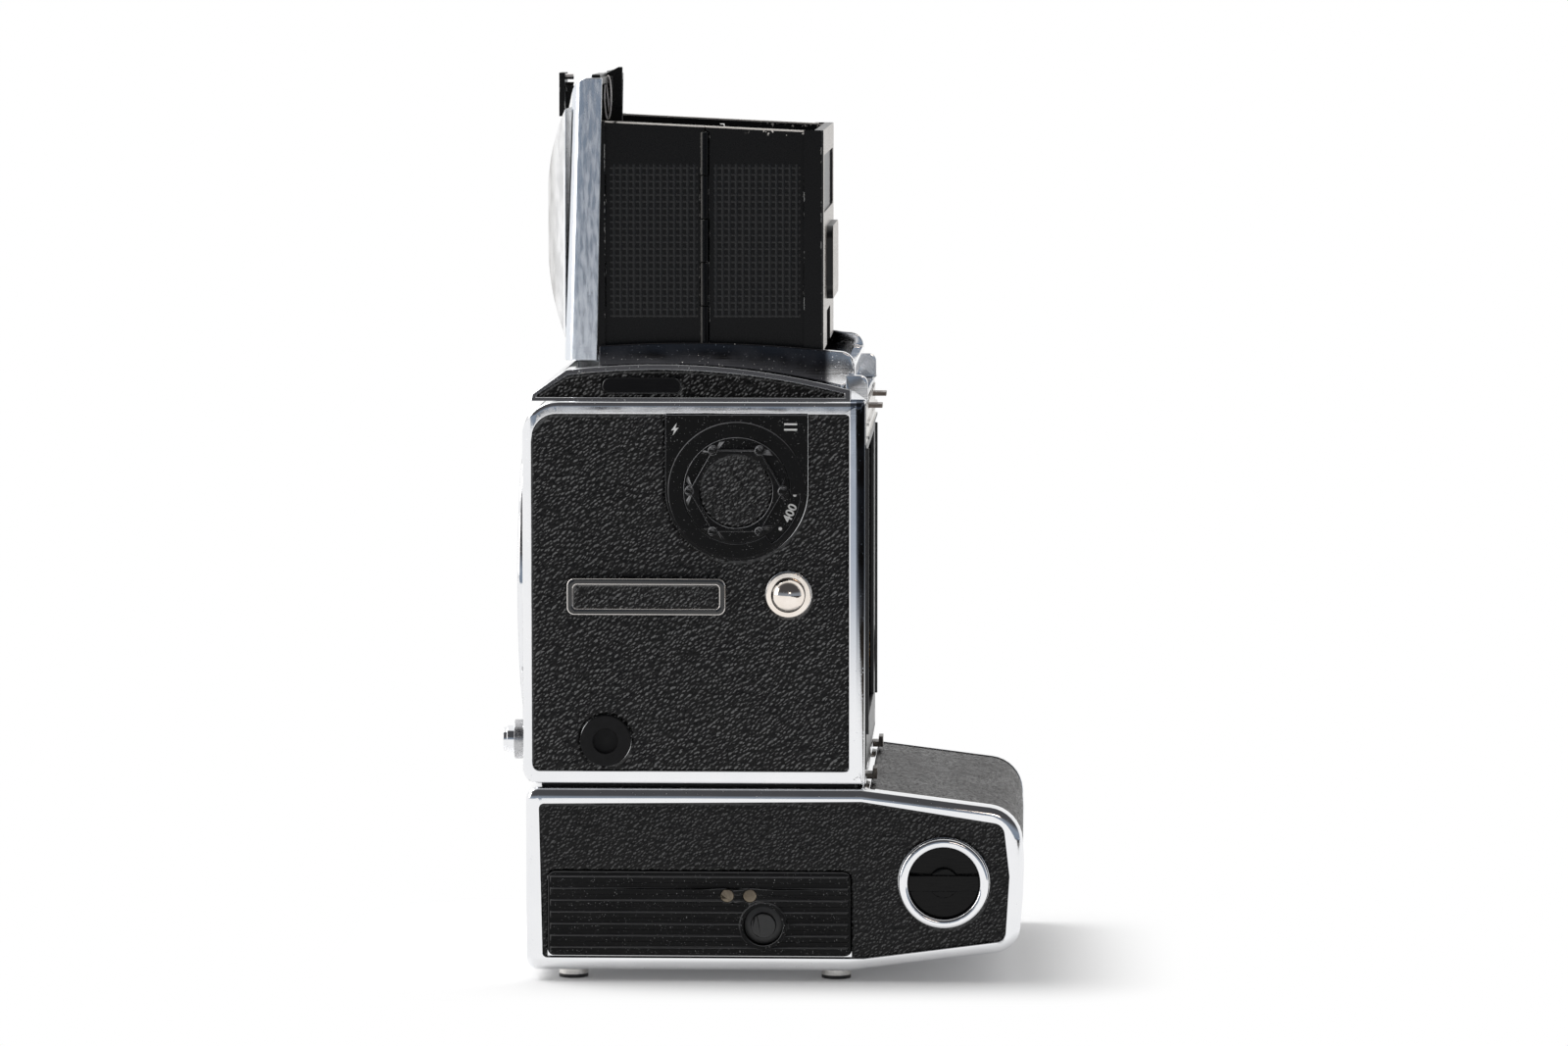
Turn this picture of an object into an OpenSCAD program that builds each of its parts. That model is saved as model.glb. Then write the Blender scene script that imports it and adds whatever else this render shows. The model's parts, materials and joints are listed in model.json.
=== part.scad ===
// Motor-driven single lens reflex camera body, 6 x 6 cm format, with an open waist-level hood.
// Millimetres. -X is the lens side, +X the film side, -Y the camera's left side, +Z up.
// The origin is the centre of the tripod socket, on the face of the coupling plate that a tripod meets.

/* [Camera body] */
// Overall width of the body and the motor base
body_w = 90; // [86:0.5:94]
// Lens flange to magazine seat
flange_depth = 71.4; // [71:0.1:72]
// Height of the body's lower edge
body_z0 = 40.3; // [40:0.1:41]
// Height of the body's upper edge
body_z1 = 117.6; // [117:0.1:118]
// Height of the lens axis
lens_z = 78.9; // [78:0.1:80]
// Radius of the body's upper front edge, seen from the side
body_corner_r = 7.5; // [5:0.5:9]
// Thickness of the leather covering
leather_t = 0.8; // [0.5:0.1:0.9]

/* [Lens mount] */
// Outer radius of the mount ring
mount_r = 32.5; // [32:0.1:33]
// Radius of the throat that the lens enters
throat_r = 28.5; // [28:0.1:29]

/* [Mirror and shutter flaps] */
// Side of the square film gate
gate_w = 56; // [54:0.5:57]
// Length of the mirror
mirror_l = 54; // [50:0.5:54]
// Half width of the mirror frame
mirror_hw = 29; // [27:0.5:29.5]
// Thickness of a shutter flap
flap_t = 0.8; // [0.6:0.1:0.9]

/* [Film speed dial] */
// Distance of the dial's centre behind the tripod socket
dial_x = 7.15; // [5:0.05:9]
// Height of the dial's centre
dial_z = 99.8; // [99:0.1:100]
// Outer radius of the raised ring around the scale
dial_ring_r = 13.75; // [13.5:0.05:14]
// Corner radius of the six-sided grip
dial_grip_r = 9.4; // [9:0.1:9.8]

/* [Motor base] */
// Height of the base's upper edge
base_z1 = 39.4; // [39:0.1:39.6]
// Rear end of the base
base_x1 = 65.2; // [64.8:0.1:66]
// Wall thickness of the base
base_wall = 2.5; // [2:0.1:3]
// Height of the rubber feet
foot_h = 2.2; // [2:0.1:2.4]
// Radius of the tripod thread, 3/8 inch at its minor diameter
tripod_r = 3.97; // [3.9:0.01:4.1]
// Diameter of one battery cell
cell_d = 14.2; // [13.8:0.1:14.4]
// Length of one battery cell
cell_l = 50.5; // [49:0.5:51]

/* [Gears] */
// Gear module
gear_m = 0.8; // [0.8:0.1:0.8]
// Teeth on the motor pinion
pinion_teeth = 12; // [12:1:12]
// Teeth on the drive gear
drive_teeth = 30; // [30:1:30]

/* [Hood] */
// Width of the lid
lid_w = 74; // [73:0.5:75]
// Height of the lid's upper edge
lid_z1 = 182.4; // [180:0.2:183]
// Distance between two neighbouring hinge axes of a folding wall
leaf_l = 21; // [20.5:0.1:21]
// Thickness of a wall leaf
leaf_t = 0.9; // [0.7:0.1:0.9]
// Half distance between the left and right wall hinge axes
wall_y = 35.2; // [35:0.1:35.2]
// Height of the walls' upper edge at the lid
wall_z1 = 173.8; // [170:0.2:174]
// Outer radius of the magnifier ring
magnifier_r = 13; // [11:0.5:13]

/* [Hidden] */
$fn = 64;

// Fits: a running fit for shafts, and a small gap around parts that are laid in pockets
run_gap = 0.05;
lay_gap = 0.1;

// Camera body
half_w = body_w / 2;
flange_x = -38.2;
seat_x = flange_x + flange_depth;
shell_x0 = -36.3;
shell_x1 = seat_x - 0.2;
shell_wall = 2.8;
pocket_d = leather_t + 0.2;
pocket_y = half_w - pocket_d;
cavity_hw = 41;
gate_z0 = lens_z - gate_w / 2;
gate_z1 = lens_z + gate_w / 2;
box_hw = 32.5;
box_wall = 1.5;

// Focusing screen, as far from the mirror's centre as the film is
screen_z = lens_z + seat_x + 3.5;
screen_t = 2.4;

// Mirror pivot, and the mirror's surface below it when the mirror is raised
mirror_pivot = [31.2, 113];
mirror_drop = 2.05;
mirror_tilt = 45;
mirror_start = 6;
flap_x = 31.5;
flap_pin_r = 0.7;
upper_flap_z = 107.9;
lower_flap_z = 49.9;
flap_l = 28.6;

// Front buttons, flash socket, strap lugs and accessory rail
release_y = -31;
release_z = 47.7;
release_hole_r = 3.2;
lens_release_y = 38;
lens_release_z = 66;
flash_x = -19.35;
flash_z = 49;
lug_x = 17.6;
lug_z = 78.7;
rail_z0 = 74.7;
rail_z1 = 82.1;

// Shafts: the one that cocks the lens, the one that winds the film, and the passage for the motor's coupling
shaft_x = -35.5;
shaft_y = 9;
shaft_z = 53.6;
winder_y = 34.1;
winder_z = 60;
winder_pin_r = 1.5;
winder_hole_r = 5.1;
coupling_x = 24;
coupling_y = 38;

// Screws of the rear plate (Y, Z) and of the tripod plate (X, Y)
rear_screw_places = [[-36, 45.5], [36, 45.5], [-33.5, 114.6], [33.5, 114.6]];
plate_screw_places = [[-14, -17], [14, -17], [-14, 17], [14, 17]];

// Film speed dial
dial_c = [dial_x, dial_z];

// Motor base
base_x0 = -35.6;
knob_x = 49;
knob_z = 20.3;
bay_x0 = -31.2;
bay_x1 = 30.3;
bay_z0 = 5.2;
bay_z1 = 22.5;
cell_z = 13.4;
tray_x = -0.5;
tray_y0 = -cavity_hw - 1;
tray_l = 74.6;
latch_x = 12.5;
latch_z = 11.5;
contact_xs = [5.2, 9.8];
contact_z = 17.6;
gear_c = gear_m * (pinion_teeth + drive_teeth) / 2;
gear_angle = 172;
motor_r = 11;
gear_y = 36.5;
gear_t = 3;

// Hood; its floor is thin, so that the folded walls fit above it
floor_z = 121.6;
floor_t = 0.7;
lid_hw = lid_w / 2;
seat_gap = 0.05;
lid_pivot = [-22.2, 130.1];
lid_pin_r = 0.7;
lid_z0 = 125.4;
lid_floor_x = -22.2;
lid_lean = atan(1.6 / 53.6);
leaf_x0 = -20.7;
leaf_z0 = 127.3;
knuckle_r = 0.8;
knuckle_count = 5;
wall_h = 44;
knuckle_h = wall_h / knuckle_count;
wall_pin_r = 0.3;
leaf_gap = 0.1;
panel_x = leaf_x0 + 2 * leaf_l;
magnifier_pivot = [-20.6, 181];
magnifier_z = 168.2;
magnifier_pin_r = 0.8;
catch_z = 179.6;

// Points of an arc about c, from angle a0 to a1
function arc(c, r, a0, a1, n = 8) =
  [for (i = [0:n]) let (a = a0 + (a1 - a0) * i / n) c + r * [cos(a), sin(a)]];

// Rectangle with four corner radii: upper right, upper left, lower left, lower right
function round_box(x0, y0, x1, y1, r) = concat(
  arc([x1 - r[0], y1 - r[0]], r[0], 0, 90), arc([x0 + r[1], y1 - r[1]], r[1], 90, 180),
  arc([x0 + r[2], y0 + r[2]], r[2], 180, 270), arc([x1 - r[3], y0 + r[3]], r[3], 270, 360));

// Rounds the convex corner b between a and c with radius r
function corner(a, b, c, r) =
  let (u = (a - b) / norm(a - b), v = (c - b) / norm(c - b), half = acos(u * v) / 2,
    m = b + (u + v) / norm(u + v) * r / sin(half),
    p = b + u * r / tan(half) - m, q = b + v * r / tan(half) - m,
    from = atan2(p[1], p[0]), turn = (180 - 2 * half) * sign(p[0] * q[1] - p[1] * q[0]))
  arc(m, r, from, from + turn);

// Height of the arched seat that the hood stands on, and of the hood base's upper edge
function seat_arch(x) = 124.2 + 0.0814 * (x + 21.6) - 0.00322 * pow(x + 21.6, 2);
function rail_arch(x) = 128.4 + 0.0732 * (x + 21.6) - 0.00191 * pow(x + 21.6, 2);
function span_points(x0, x1, n) = [for (i = [0:n]) x0 + (x1 - x0) * i / n];

// Box between two corners
module block(a, b) { translate(a) cube(b - a); }

// Extrudes a side view (X right, Z up) from y0 to y1
module side_prism(y0, y1) { translate([0, y1, 0]) rotate([90, 0, 0]) linear_extrude(y1 - y0) children(); }

// Extrudes a front view (Y right, Z up) from x0 to x1
module front_prism(x0, x1) { translate([x0, 0, 0]) rotate([90, 0, 90]) linear_extrude(x1 - x0) children(); }

// Round bar along X, Y or Z, starting at the given point
module bar_x(p, l, r) { translate(p) rotate([0, 90, 0]) cylinder(h = l, r = r); }
module bar_y(p, l, r) { translate(p) rotate([-90, 0, 0]) cylinder(h = l, r = r); }
module bar_z(p, l, r) { translate(p) cylinder(h = l, r = r); }

// The same children on the left and on the right
module both_sides() { children(); mirror([0, 1, 0]) children(); }

// ---- Camera body ----

module shell_outline() {
  polygon(round_box(shell_x0, body_z0, shell_x1, body_z1, [0.6, body_corner_r, 3, 0.6]));
}

module side_pocket_outline(gap = 0) {
  polygon(round_box(shell_x0 + 2.1 + gap, body_z0 + 2.6 + gap, shell_x1 - 3.2 - gap, body_z1 - 2.5 - gap,
    [0.8, body_corner_r - 2.5, 1.5, 0.8]));
}

module front_pocket_outline(gap = 0) {
  w = half_w - 3.5 - gap;
  polygon(round_box(-w, body_z0 + 3 + gap, w, body_z1 - body_corner_r - gap, [2, 2, 2, 2]));
}

module body_shell() {
  color("silver") difference() {
    intersection() {
      side_prism(-half_w, half_w) shell_outline();
      translate([0, 0, body_z0]) linear_extrude(body_z1 - body_z0)
        polygon(round_box(shell_x0, -half_w, shell_x1, half_w, [0.6, 3, 3, 0.6]));
    }
    block([shell_x0 + shell_wall, -cavity_hw, body_z0 + 2.4], [shell_x1 + 1, cavity_hw, body_z1 - 1.1]);
    both_sides() side_prism(-half_w - 1, -pocket_y) side_pocket_outline();
    front_prism(shell_x0 - 1, shell_x0 + pocket_d) front_pocket_outline();
    bar_x([shell_x0 - 1, 0, lens_z], 6, 30);
    block([-29.5, -29.5, body_z1 - 2], [29.5, 29.5, body_z1 + 1]);
    bar_x([shell_x0 - 1, release_y, release_z], 6, release_hole_r);
    bar_x([shell_x0 - 1, lens_release_y, lens_release_z], 6, 3.2 + run_gap);
    bar_y([flash_x, -half_w, flash_z], 6, 3.4);
    bar_z([coupling_x, coupling_y, body_z0 - 1], 5, 2.5);
  }
}

module side_leather(is_left) {
  side_prism(-pocket_y - leather_t, -pocket_y) difference() {
    side_pocket_outline(lay_gap);
    translate([lug_x, lug_z]) circle(r = 4.6 + lay_gap);
    if (is_left) {
      dial_outline(lay_gap);
      rail_outline(1.4 - lay_gap, 1);
      translate([flash_x, flash_z]) circle(r = 5.1 + lay_gap);
    }
  }
}

module body_side_leathers() {
  color([0.06, 0.06, 0.06]) {
    side_leather(true);
    mirror([0, 1, 0]) side_leather(false);
  }
}

module front_leather() {
  color([0.06, 0.06, 0.06]) front_prism(shell_x0 + pocket_d - leather_t, shell_x0 + pocket_d) difference() {
    front_pocket_outline(lay_gap);
    translate([0, lens_z]) circle(r = 30 + lay_gap);
    translate([release_y, release_z]) circle(r = 4 + lay_gap);
    translate([lens_release_y, lens_release_z]) circle(r = 3.2 + lay_gap);
  }
}

// Side view of the arched cover between the body and the hood, lowered by drop
module cover_profile(drop = 0) {
  polygon(concat([[-34.4 + drop, body_z1], [-34.2 + drop, 118.9]],
    [for (x = span_points(-27.6 + drop, 30, 12)) [x, seat_arch(x) - drop]], [[30 + drop, body_z1]]));
}

// Front view of the cover: its sides slope inwards
module cover_section(inset) {
  polygon([[-44 + inset, body_z1 - 1], [44 - inset, body_z1 - 1], [38.2 - inset, 125], [-38.2 + inset, 125]]);
}

module top_cover() {
  color("silver") difference() {
    union() {
      intersection() {
        side_prism(-44, 44) cover_profile();
        front_prism(-36, 31) cover_section(0);
      }
      both_sides() side_prism(-41, -38.6) polygon(round_box(29, body_z1, 33.4, 122.7, [1.6, 0.2, 0.2, 0.2]));
    }
    difference() {
      side_prism(-45, 45) cover_leather_profile(0);
      front_prism(-36, 31) cover_section(pocket_d);
    }
    block([-29.5, -29.5, body_z1 - 1], [29.5, 29.5, 126]);
    block([-26, -37, floor_z - 0.1], [40, 37, 126]);
  }
}

module cover_leather_profile(gap) {
  polygon(concat([[-33.4 + gap, body_z1 + 0.7 + gap], [-33.2 + gap, 118.9]],
    [for (x = span_points(-27.3 + gap, 28.8 - gap, 12)) [x, seat_arch(x) - 1 - gap]],
    [[28.8 - gap, body_z1 + 0.7 + gap]]));
}

module shoulder_leathers() {
  color([0.06, 0.06, 0.06]) difference() {
    both_sides() intersection() {
      side_prism(-44, -36) cover_leather_profile(lay_gap);
      front_prism(-36, 31) cover_section(pocket_d - leather_t);
    }
    front_prism(-37, 32) cover_section(pocket_d);
    side_prism(-45, -35) polygon(name_plate_outline(lay_gap));
  }
}

function name_plate_outline(gap) =
  round_box(-20.1 - gap, 119.2 - gap, -4.3 + gap, 122.1 + gap, [1.4, 1.4, 1.4, 1.4]);

module name_plate() {
  color([0.02, 0.02, 0.02]) difference() {
    intersection() {
      side_prism(-45, -36) polygon(name_plate_outline(0));
      front_prism(-36, 31) cover_section(0);
    }
    front_prism(-37, 32) cover_section(pocket_d);
  }
}

module lens_mount() {
  slot_r = 30.6;
  color("silver") difference() {
    union() {
      bar_x([flange_x, 0, lens_z], shell_x0 - flange_x, mount_r);
      bar_x([shell_x0, 0, lens_z], shell_wall, 29.9);
    }
    bar_x([flange_x - 1, 0, lens_z], 10, throat_r);
    bar_x([shell_x0 + 0.8, 0, lens_z], 5, 29.2);
    for (a = [30, 150, 270])
      translate([flange_x - 1, 0, lens_z]) rotate([a, 0, 0]) rotate([0, 90, 0])
        linear_extrude(2.4) polygon(concat([[0, 0]], arc([0, 0], slot_r, -12, 12)));
    translate([flange_x - 1, 0, lens_z]) rotate([0, 90, 0]) difference() {
      cylinder(h = 1.4, r = mount_r + 1);
      cylinder(h = 1.4, r = mount_r - 1.2);
    }
  }
}

// Black chassis around the mirror: two side walls, a floor and a front baffle
module mirror_box() {
  color([0.1, 0.1, 0.1]) difference() {
    block([-32, -box_hw, 46], [32.3, box_hw, screen_z - 0.6]);
    block([-33, -box_hw + box_wall, 46 + box_wall], [33, box_hw - box_wall, screen_z + 1]);
    bar_y([mirror_pivot[0], -box_hw - 1, mirror_pivot[1]], 2 * box_hw + 2, 1 + run_gap);
    for (z = [upper_flap_z, lower_flap_z])
      bar_y([flap_x, -box_hw - 1, z], 2 * box_hw + 2, flap_pin_r + run_gap);
    bar_x([31.8, winder_y, winder_z], 2, winder_hole_r);
  }
}

// Places children built for the raised mirror at the viewing position
module at_mirror_rest() {
  translate([mirror_pivot[0], 0, mirror_pivot[1]]) rotate([0, -mirror_tilt, 0]) children();
}

module mirror_frame() {
  x1 = -mirror_start - mirror_l - 0.8;
  color([0.12, 0.12, 0.12]) at_mirror_rest() difference() {
    union() {
      block([x1, -mirror_hw, -mirror_drop - 2.4], [-mirror_start, mirror_hw, -mirror_drop - 0.3]);
      bar_y([0, -box_hw + 0.2, 0], 2 * box_hw - 0.4, 1);
      both_sides() side_prism(-mirror_hw, -mirror_hw + 3)
        polygon([[0.4, 0.9], [0.4, -0.9], [-6, -4.3], [-10, -4.3], [-10, -2.4], [-7, -1.6]]);
    }
    block([x1 + 0.8, -mirror_hw + 1, -mirror_drop - 1.5], [-mirror_start - 0.8, mirror_hw - 1, 0]);
    block([x1 + 0.8, -mirror_hw + 3.2, -mirror_drop - 1.5], [-mirror_start - 0.8, mirror_hw - 3.2, 2]);
  }
}

module mirror_glass() {
  x0 = -mirror_start - mirror_l + lay_gap;
  z0 = -mirror_drop - 1.5;
  color("lightblue") at_mirror_rest() difference() {
    block([x0, -mirror_hw + 1.1, z0], [-mirror_start - 0.9, mirror_hw - 1.1, -mirror_drop]);
    both_sides() block([-11, -mirror_hw - 1, z0 - 1], [0, -mirror_hw + 3.3, 1]);
  }
}

module screen_frame() {
  color([0.15, 0.15, 0.15]) difference() {
    block([-29.5, -29.5, screen_z - 0.6], [29.5, 29.5, screen_z + screen_t + 0.4]);
    block([-28.1, -28.1, screen_z], [28.1, 28.1, screen_z + screen_t + 1]);
    block([-27, -27, screen_z - 2], [27, 27, screen_z + 1]);
  }
}

module focusing_screen() {
  color([0.8, 0.85, 0.85, 0.6]) block([-28, -28, screen_z], [28, 28, screen_z + screen_t]);
}

module shutter_flap(z, up) {
  color([0.08, 0.08, 0.08]) union() {
    bar_y([flap_x, -box_hw + 0.2, z], 2 * box_hw - 0.4, flap_pin_r);
    if (up) block([flap_x - flap_t / 2, -30, z], [flap_x + flap_t / 2, 30, z + flap_l]);
    else block([flap_x - flap_t / 2, -30, z - flap_l], [flap_x + flap_t / 2, 30, z]);
  }
}

module upper_shutter_flap() { shutter_flap(upper_flap_z, false); }
module lower_shutter_flap() { shutter_flap(lower_flap_z, true); }

// Rear plate that the magazine meets, with the film gate, light baffles and a cut-out for the gear
module rear_plate() {
  x0 = 32.4;
  color("gainsboro") difference() {
    union() {
      block([x0, -cavity_hw + lay_gap, body_z0 + 2.5], [seat_x, cavity_hw - lay_gap, body_z1 - 1.2]);
      for (z = [112.2, 109.6]) block([x0, -38, z], [seat_x + 0.5, 38, z + 0.7]);
      both_sides() block([x0, -40.1, gate_z0 - 1], [seat_x + 0.5, -39.3, gate_z1 + 1]);
    }
    block([x0 - 1, -gate_w / 2, gate_z0], [seat_x + 1, gate_w / 2, gate_z1]);
    both_sides() block([x0 - 1, -22.8, 114.8], [seat_x + 1, -16.2, 116]);
    bar_x([x0 - 1, winder_y, winder_z], 4, winder_hole_r);
    for (p = rear_screw_places) bar_x([x0 - 1, p[0], p[1]], 4, 1.1);
    for (p = rear_screw_places) bar_x([seat_x - 0.4, p[0], p[1]], 2, 1.8);
  }
}

// Slotted screw along +Z whose head's face is at the origin
module slotted_screw(shank_l, shank_r, head_t, head_r) {
  difference() {
    union() {
      cylinder(h = shank_l, r = shank_r);
      cylinder(h = head_t, r = head_r);
    }
    translate([-head_r - 1, -0.2, -1]) cube([2 * head_r + 2, 0.4, 1.25]);
  }
}

module plate_screws() {
  color("dimgray") {
    for (p = rear_screw_places)
      translate([seat_x, p[0], p[1]]) rotate([0, -90, 0]) slotted_screw(3.8, 1, 0.4, 1.7);
    for (p = plate_screw_places) translate([p[0], p[1], 0.2]) slotted_screw(4.4, 1.2, 0.6, 2.2);
  }
}

module magazine_upper_hooks() {
  color("dimgray") both_sides() difference() {
    block([30, -22.5, 115], [36, -16.5, 115.8]);
    bar_z([34, -19.5, 114], 3, 1.2);
  }
}

module magazine_lower_hooks() {
  color("silver") both_sides() union() {
    block([shell_x1, -31.4, 39.8], [35.2, -25.8, 40.9]);
    block([34.3, -31.4, 39.8], [35.2, -25.8, 42]);
  }
}

// Spur gear in the XY plane with straight-flanked teeth; the first tooth points at angle phase
module gear_outline(teeth, phase) {
  rp = gear_m * teeth / 2;
  step = 360 / teeth;
  ro = rp + 0.9 * gear_m;
  ri = rp - 1.15 * gear_m;
  polygon([for (i = [0:teeth - 1]) let (a = phase + i * step)
    each [ri * [cos(a - 0.33 * step), sin(a - 0.33 * step)], ro * [cos(a - 0.1 * step), sin(a - 0.1 * step)],
      ro * [cos(a + 0.1 * step), sin(a + 0.1 * step)], ri * [cos(a + 0.33 * step), sin(a + 0.33 * step)]]]);
}

module magazine_drive_gear() {
  color("goldenrod") union() {
    bar_x([26, winder_y, winder_z], seat_x - 26.2, winder_pin_r);
    translate([seat_x - 1.2, winder_y, winder_z]) rotate([0, 90, 0]) linear_extrude(1) gear_outline(10, 0);
  }
}

// Slotted shaft in the mount that cocks the shutter in the lens
module lens_drive_shaft() {
  color("silver") difference() {
    union() {
      bar_x([shaft_x + 1.1, shaft_y, shaft_z], 11.5, 2.2);
      bar_x([shaft_x, shaft_y, shaft_z], 2, 1.7);
    }
    block([shaft_x - 1, shaft_y - 0.4, shaft_z - 3], [shaft_x + 0.9, shaft_y + 0.4, shaft_z + 3]);
  }
}

module release_button() {
  color("silver") union() {
    bar_x([-40.2, release_y, release_z], 5, 2.8);
    bar_x([-41, release_y, release_z], 0.9, 2.4);
  }
}

module release_collar() {
  color("dimgray") difference() {
    union() {
      bar_x([-38.7, release_y, release_z], 38.7 + shell_x0, 4);
      bar_x([shell_x0, release_y, release_z], pocket_d + 1.6, 3.15);
    }
    bar_x([-39, release_y, release_z], 6, 2.8 + run_gap);
  }
}

module lens_release_button() {
  color("silver") bar_x([-38.2, lens_release_y, lens_release_z], 4.2, 3.2);
}

module rail_outline(inset, r) {
  polygon(round_box(-27 + inset, rail_z0 + inset, 5 - inset, rail_z1 - inset, [r, r, r, r]));
}

module accessory_rail() {
  color([0.15, 0.15, 0.15]) difference() {
    union() {
      side_prism(-half_w - 1.2, -pocket_y) rail_outline(1.4, 1);
      side_prism(-half_w - 2.6, -half_w - 1.2) rail_outline(0, 1.5);
    }
    side_prism(-half_w - 3, -half_w - 2.2) rail_outline(1.3, 0.8);
  }
}

module strap_lugs() {
  color("silver") both_sides() translate([lug_x, -pocket_y, lug_z]) rotate([90, 0, 0]) union() {
    cylinder(h = 1.6, r = 4.6);
    cylinder(h = 3.2, r = 1.8);
    translate([0, 0, 3.1]) intersection() {
      cylinder(h = 3, r = 3.6);
      translate([0, 0, -2.2]) sphere(r = 4.2);
    }
  }
}

module flash_socket() {
  color("silver") difference() {
    bar_y([flash_x, -pocket_y - 0.2, flash_z], 3.8, 3.3);
    bar_y([flash_x, -pocket_y - 1, flash_z], 3, 1.6);
  }
}

module flash_cap() {
  color([0.05, 0.05, 0.05]) difference() {
    bar_y([flash_x, -half_w - 0.9, flash_z], 0.9 + pocket_d, 5.1);
    bar_y([flash_x, -half_w - 1, flash_z], 1.1, 2.6);
    bar_y([flash_x, -pocket_y - 0.2, flash_z], 1, 3.35);
  }
}

// ---- Film speed dial ----

module dial_outline(gap) {
  top = body_z1 - 2.5 - lay_gap;
  union() {
    translate([dial_x, dial_z]) circle(r = 14.3 + gap);
    polygon([[dial_x - 14.3 - gap, dial_z], [dial_x + 14.3 + gap, dial_z],
      [dial_x + 14.3 + gap, top + gap], [dial_x - 14.3 - gap, top + gap]]);
  }
}

module iso_plate() {
  y = -pocket_y;
  color([0.08, 0.08, 0.08]) difference() {
    union() {
      side_prism(y - 1.6, y) dial_outline(0);
      bar_y([dial_x, y - 2, dial_z], 1, dial_ring_r);
    }
    bar_y([dial_x, y - 1.2, dial_z], 0.6, 13.3);
    bar_y([dial_x, y - 3, dial_z], 2.4, 10.8);
    side_prism(y - 3, y - 1) polygon(concat(arc(dial_c, 12.9, -57, -4), arc(dial_c, 10, -4, -57)));
  }
}

module iso_scale_disc() {
  color([0.05, 0.05, 0.05]) bar_y([dial_x, -pocket_y - 1.15, dial_z], 0.5, 13.2);
}

module iso_dial() {
  y = -pocket_y - 1.15;
  color([0.08, 0.08, 0.08]) difference() {
    union() {
      bar_y([dial_x, y - 0.9, dial_z], 0.9, 10.7);
      side_prism(y - 3.2, y - 0.9) polygon([for (a = [0:60:300]) dial_c + dial_grip_r * [cos(a), sin(a)]]);
      for (a = [0:60:300])
        bar_y([dial_x + dial_grip_r * cos(a), y - 3.4, dial_z + dial_grip_r * sin(a)], 3, 0.9);
    }
    bar_y([dial_x, y - 4, dial_z], 1.8, 7.4);
  }
}

module dial_leather() {
  color([0.06, 0.06, 0.06]) bar_y([dial_x, -pocket_y - 1.15 - 3, dial_z], 0.8, 7.3);
}

// ---- Motor base ----

module base_outline() {
  top = [32.4, base_z1];
  rear = [base_x1, 25];
  rear_low = [base_x1 - 0.2, 17.8];
  bottom = [29.9, foot_h];
  polygon(concat(arc([base_x0 + 2.5, base_z1 - 2.5], 2.5, 180, 90), [top],
    corner(top, [base_x1 - 0.7, 35.3], rear, 7.5), [rear, rear_low],
    corner(rear_low, [base_x1 - 1.1, 6.6], bottom, 5.5), [bottom],
    arc([base_x0 + 2.5, foot_h + 2.5], 2.5, 270, 180)));
}

module base_pocket_outline(gap) {
  front = [-32.9, 36.1];
  top = [32.4, 36.7];
  rear = [base_x1 - 3, 21.7];
  bottom = [32.8, 4.9];
  front_low = [-32.2, 4.9];
  offset(delta = -gap) polygon(concat(corner(front_low, front, top, 1), [top],
    corner(top, [61, 32.2], rear, 2.4), [rear], corner(rear, [61.4, 8.6], bottom, 2), [bottom],
    corner(bottom, front_low, front, 1)));
}

// Outer layer of the base's top ledge and rear, which the leather strip fills
module base_wrap_layer(depth, top_x) {
  intersection() {
    difference() {
      base_outline();
      offset(delta = -depth) base_outline();
    }
    translate([top_x, 8]) square([50, 40]);
  }
}

// Opening for the battery cover
module bay_outline(inset) {
  polygon(round_box(bay_x0 + inset, bay_z0 + inset, bay_x1 - inset, bay_z1 - inset, [1.5, 1.5, 1.5, 1.5]));
}

module base_shell() {
  color("silver") difference() {
    side_prism(-half_w, half_w) base_outline();
    side_prism(-cavity_hw - 1, cavity_hw + 1) offset(delta = -base_wall) base_outline();
    both_sides() side_prism(-half_w - 1, -pocket_y) base_pocket_outline(0);
    side_prism(-cavity_hw - 1.2, cavity_hw + 1.2) base_wrap_layer(pocket_d, 34);
    side_prism(-half_w - 1, -cavity_hw) bay_outline(0);
    bar_y([knob_x, -half_w - 1, knob_z], 6, 7.6);
    bar_z([0, 0, 0], 8, 9);
    bar_z([coupling_x, coupling_y, base_z1 - 4], 5, 2.5);
    for (p = plate_screw_places) bar_z([p[0], p[1], 0], 8, 1.25);
  }
}

// Dark seal in the joint between the base and the body
module base_gasket() {
  color([0.05, 0.05, 0.05]) difference() {
    block([-32.5, -42.5, base_z1], [31, 42.5, body_z0]);
    bar_z([coupling_x, coupling_y, base_z1 - 1], 3, 2.5);
  }
}

module base_side_leathers() {
  color([0.06, 0.06, 0.06]) {
    side_prism(-pocket_y - leather_t, -pocket_y) difference() {
      base_pocket_outline(lay_gap);
      polygon(round_box(bay_x0 - lay_gap, 0, bay_x1 + lay_gap, bay_z1 + lay_gap, [1.6, 1.6, 0.2, 0.2]));
      translate([knob_x, knob_z]) circle(r = 9.2 + lay_gap);
    }
    side_prism(pocket_y, pocket_y + leather_t) base_pocket_outline(lay_gap);
  }
}

module base_wrap_leather() {
  color([0.06, 0.06, 0.06]) difference() {
    side_prism(-cavity_hw - 1.1, cavity_hw + 1.1) offset(delta = -(pocket_d - leather_t)) base_outline();
    side_prism(-cavity_hw - 2, cavity_hw + 2) offset(delta = -pocket_d) base_outline();
    block([-50, -50, 0], [34.1, 50, 50]);
    block([-50, -50, 0], [80, 50, 8.1]);
  }
}

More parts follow.
